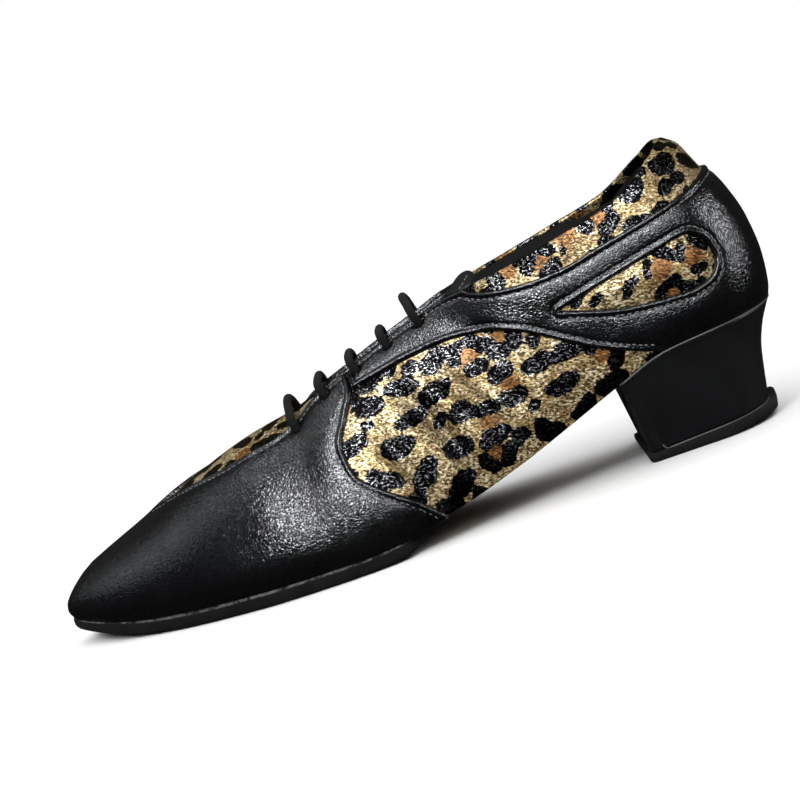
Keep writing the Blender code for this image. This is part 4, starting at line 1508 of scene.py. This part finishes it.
def add_camera():
    azimuth, elevation, roll = np.radians([CAMERA_AZIMUTH, CAMERA_ELEVATION, CAMERA_ROLL])
    level = np.cos(elevation)
    away = Vector((np.sin(azimuth) * level, np.cos(azimuth) * level, np.sin(elevation)))
    right = (-away).cross(Vector((0, 0, 1))).normalized()
    up = right.cross(-away)
    rolled_right = np.cos(roll) * right + np.sin(roll) * up
    rolled_up = np.cos(roll) * up - np.sin(roll) * right
    camera = bpy.data.cameras.new("camera")
    camera.sensor_width = SENSOR
    camera.lens = SENSOR * FOCAL_PIXELS / IMAGE_PIXELS
    camera.clip_start = CAMERA_NEAR
    obj = bpy.data.objects.new("camera", camera)
    obj.matrix_world = Matrix((rolled_right, rolled_up, away)).transposed().to_4x4()
    obj.location = Vector(CAMERA_AIM) + CAMERA_DISTANCE * away
    bpy.context.scene.collection.objects.link(obj)
    bpy.context.scene.camera = obj


def add_light(name, place, size, power, kind):
    """A soft rectangular light that faces the shoe."""
    light = bpy.data.lights.new(name, "AREA")
    light.shape = "RECTANGLE"
    light.size, light.size_y = size
    light.energy = power
    obj = bpy.data.objects.new(name, light)
    obj.location = place
    obj.visible_diffuse = kind == "matt"
    obj.visible_glossy = kind == "gloss"
    obj.rotation_euler = (Vector(LIGHT_AIM) - Vector(place)).to_track_quat("-Z", "Y").to_euler()
    bpy.context.scene.collection.objects.link(obj)


def add_surround():
    """World that the camera sees as white, and that lights the shoe softly from above."""
    world = bpy.data.worlds.new("surround")
    world.use_nodes = True
    tree = world.node_tree
    height = add(tree, "SeparateXYZ", {0: add(tree, "TexCoord").outputs["Generated"]}).outputs["Z"]
    soft = ramp(tree, height, *SKY_HEIGHTS, *SKY_LIGHT)
    seen = add(tree, "LightPath").outputs["Is Camera Ray"]
    strength = sums(tree, "MAXIMUM", soft, seen)
    fill(tree, tree.nodes["Background"], {"Color": (1, 1, 1), "Strength": strength})
    bpy.context.scene.world = world


def add_floor():
    """Plain pale floor, left out of reflections so that the leather keeps its dark bands."""
    angle = np.linspace(0, 2 * np.pi, FLOOR_SIDES, endpoint=False)
    rim = np.stack([FLOOR_RADIUS * np.cos(angle), FLOOR_RADIUS * np.sin(angle), 0 * angle], 1)
    rim += np.array(CAMERA_AIM) * (1, 1, 0)
    mesh = bpy.data.meshes.new("floor")
    mesh.from_pydata(rim.tolist(), [], [tuple(range(FLOOR_SIDES))])
    material, tree, shader = new_material("floor")
    fill(tree, shader, {"Base Color": FLOOR_COLOUR, "Roughness": 0.9, "Specular IOR Level": 0.1})
    mesh.materials.append(material)
    floor = bpy.data.objects.new("floor", mesh)
    floor.visible_glossy = False
    bpy.context.scene.collection.objects.link(floor)


def grey(level, blue):
    """A grey with its own level of blue."""
    return level, level, blue


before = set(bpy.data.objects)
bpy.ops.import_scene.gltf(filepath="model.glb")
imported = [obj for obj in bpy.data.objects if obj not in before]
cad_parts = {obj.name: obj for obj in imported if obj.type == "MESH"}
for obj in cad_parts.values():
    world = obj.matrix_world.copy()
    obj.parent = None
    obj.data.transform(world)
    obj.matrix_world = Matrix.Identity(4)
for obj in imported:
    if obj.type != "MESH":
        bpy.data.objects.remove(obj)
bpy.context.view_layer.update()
add_camera()
add_floor()
add_surround()
for light_row in LIGHTS:
    add_light(*light_row)
bpy.context.scene.view_settings.view_transform = "Standard"

black_leather = leather("black_leather", colour=(0.0008, 0.0009, 0.0011), pebble_tops=(0.004, 0.0043, 0.005),
                        roughness=0.21, grain=1.0 * MM, depth=0.05 * MM)
soft_leather = leather("tongue_leather", colour=grey(0.002, 0.0023), pebble_tops=grey(0.006, 0.0065),
                       roughness=0.45, grain=0.7 * MM, depth=0.03 * MM)
sole_suede = suede("suede_sole", colour=grey(0.0006, 0.0007), raised=grey(0.003, 0.0035), scale=1500)
# Pale band along the sole's top: partly nap, partly painted highlight where its edge catches the light
nap_highlight_suede = suede("sole_nap_highlight", colour=grey(0.001, 0.0011), raised=grey(0.11, 0.12), scale=1100, patches=4)
edge_suede = suede("heel_border", colour=grey(0.0007, 0.0008), raised=grey(0.0025, 0.0028), scale=1800)
tip_rubber = suede("heel_tip", colour=grey(0.002, 0.002), raised=grey(0.007, 0.0075), scale=1100)
heel_satin = satin("heel_cover", colour=(0.0028, 0.0032, 0.0042), roughness=0.40)
# The beads' pale grey is partly their own colour and partly painted highlight along the joints
bead_grey_and_highlight = satin("heel_beads", colour=grey(0.04, 0.042), roughness=0.5)
# The thread's grey is partly its own colour and partly painted highlight on the stitches
thread = satin("thread", colour=grey(0.09, 0.095), roughness=0.45)
lining_cloth = cloth("lining", colour=grey(0.006, 0.007), lighter=grey(0.03, 0.032), scale=1300)
lace_cotton = cloth("lace", colour=grey(0.0005, 0.0006), lighter=grey(0.006, 0.0066), scale=1300)

build_laces(lace_cotton)
build_upper(leopard_leather(), black_leather)
build_lining(lining_cloth)
quarter = build_overlay("quarter_leather", quarter_edges(), [side_leaf()], black_leather, "quarter_overlay")
vamp = build_overlay("vamp_leather", vamp_edges(), [], black_leather, "vamp_overlay")
seams = []
for surface, edges in (quarter, vamp):
    seams += [seam_line(edge, side, surface) for edge in edges for side in (1, -1)]
seams.append(tongue_border())
build_stitching(seams, thread)
build_outsole(sole_suede, nap_highlight_suede)
build_insole(lining_cloth)
build_heel(heel_satin, edge_suede)
build_heel_beads(bead_grey_and_highlight)
build_top_lift(tip_rubber)
build_tongue(soft_leather)
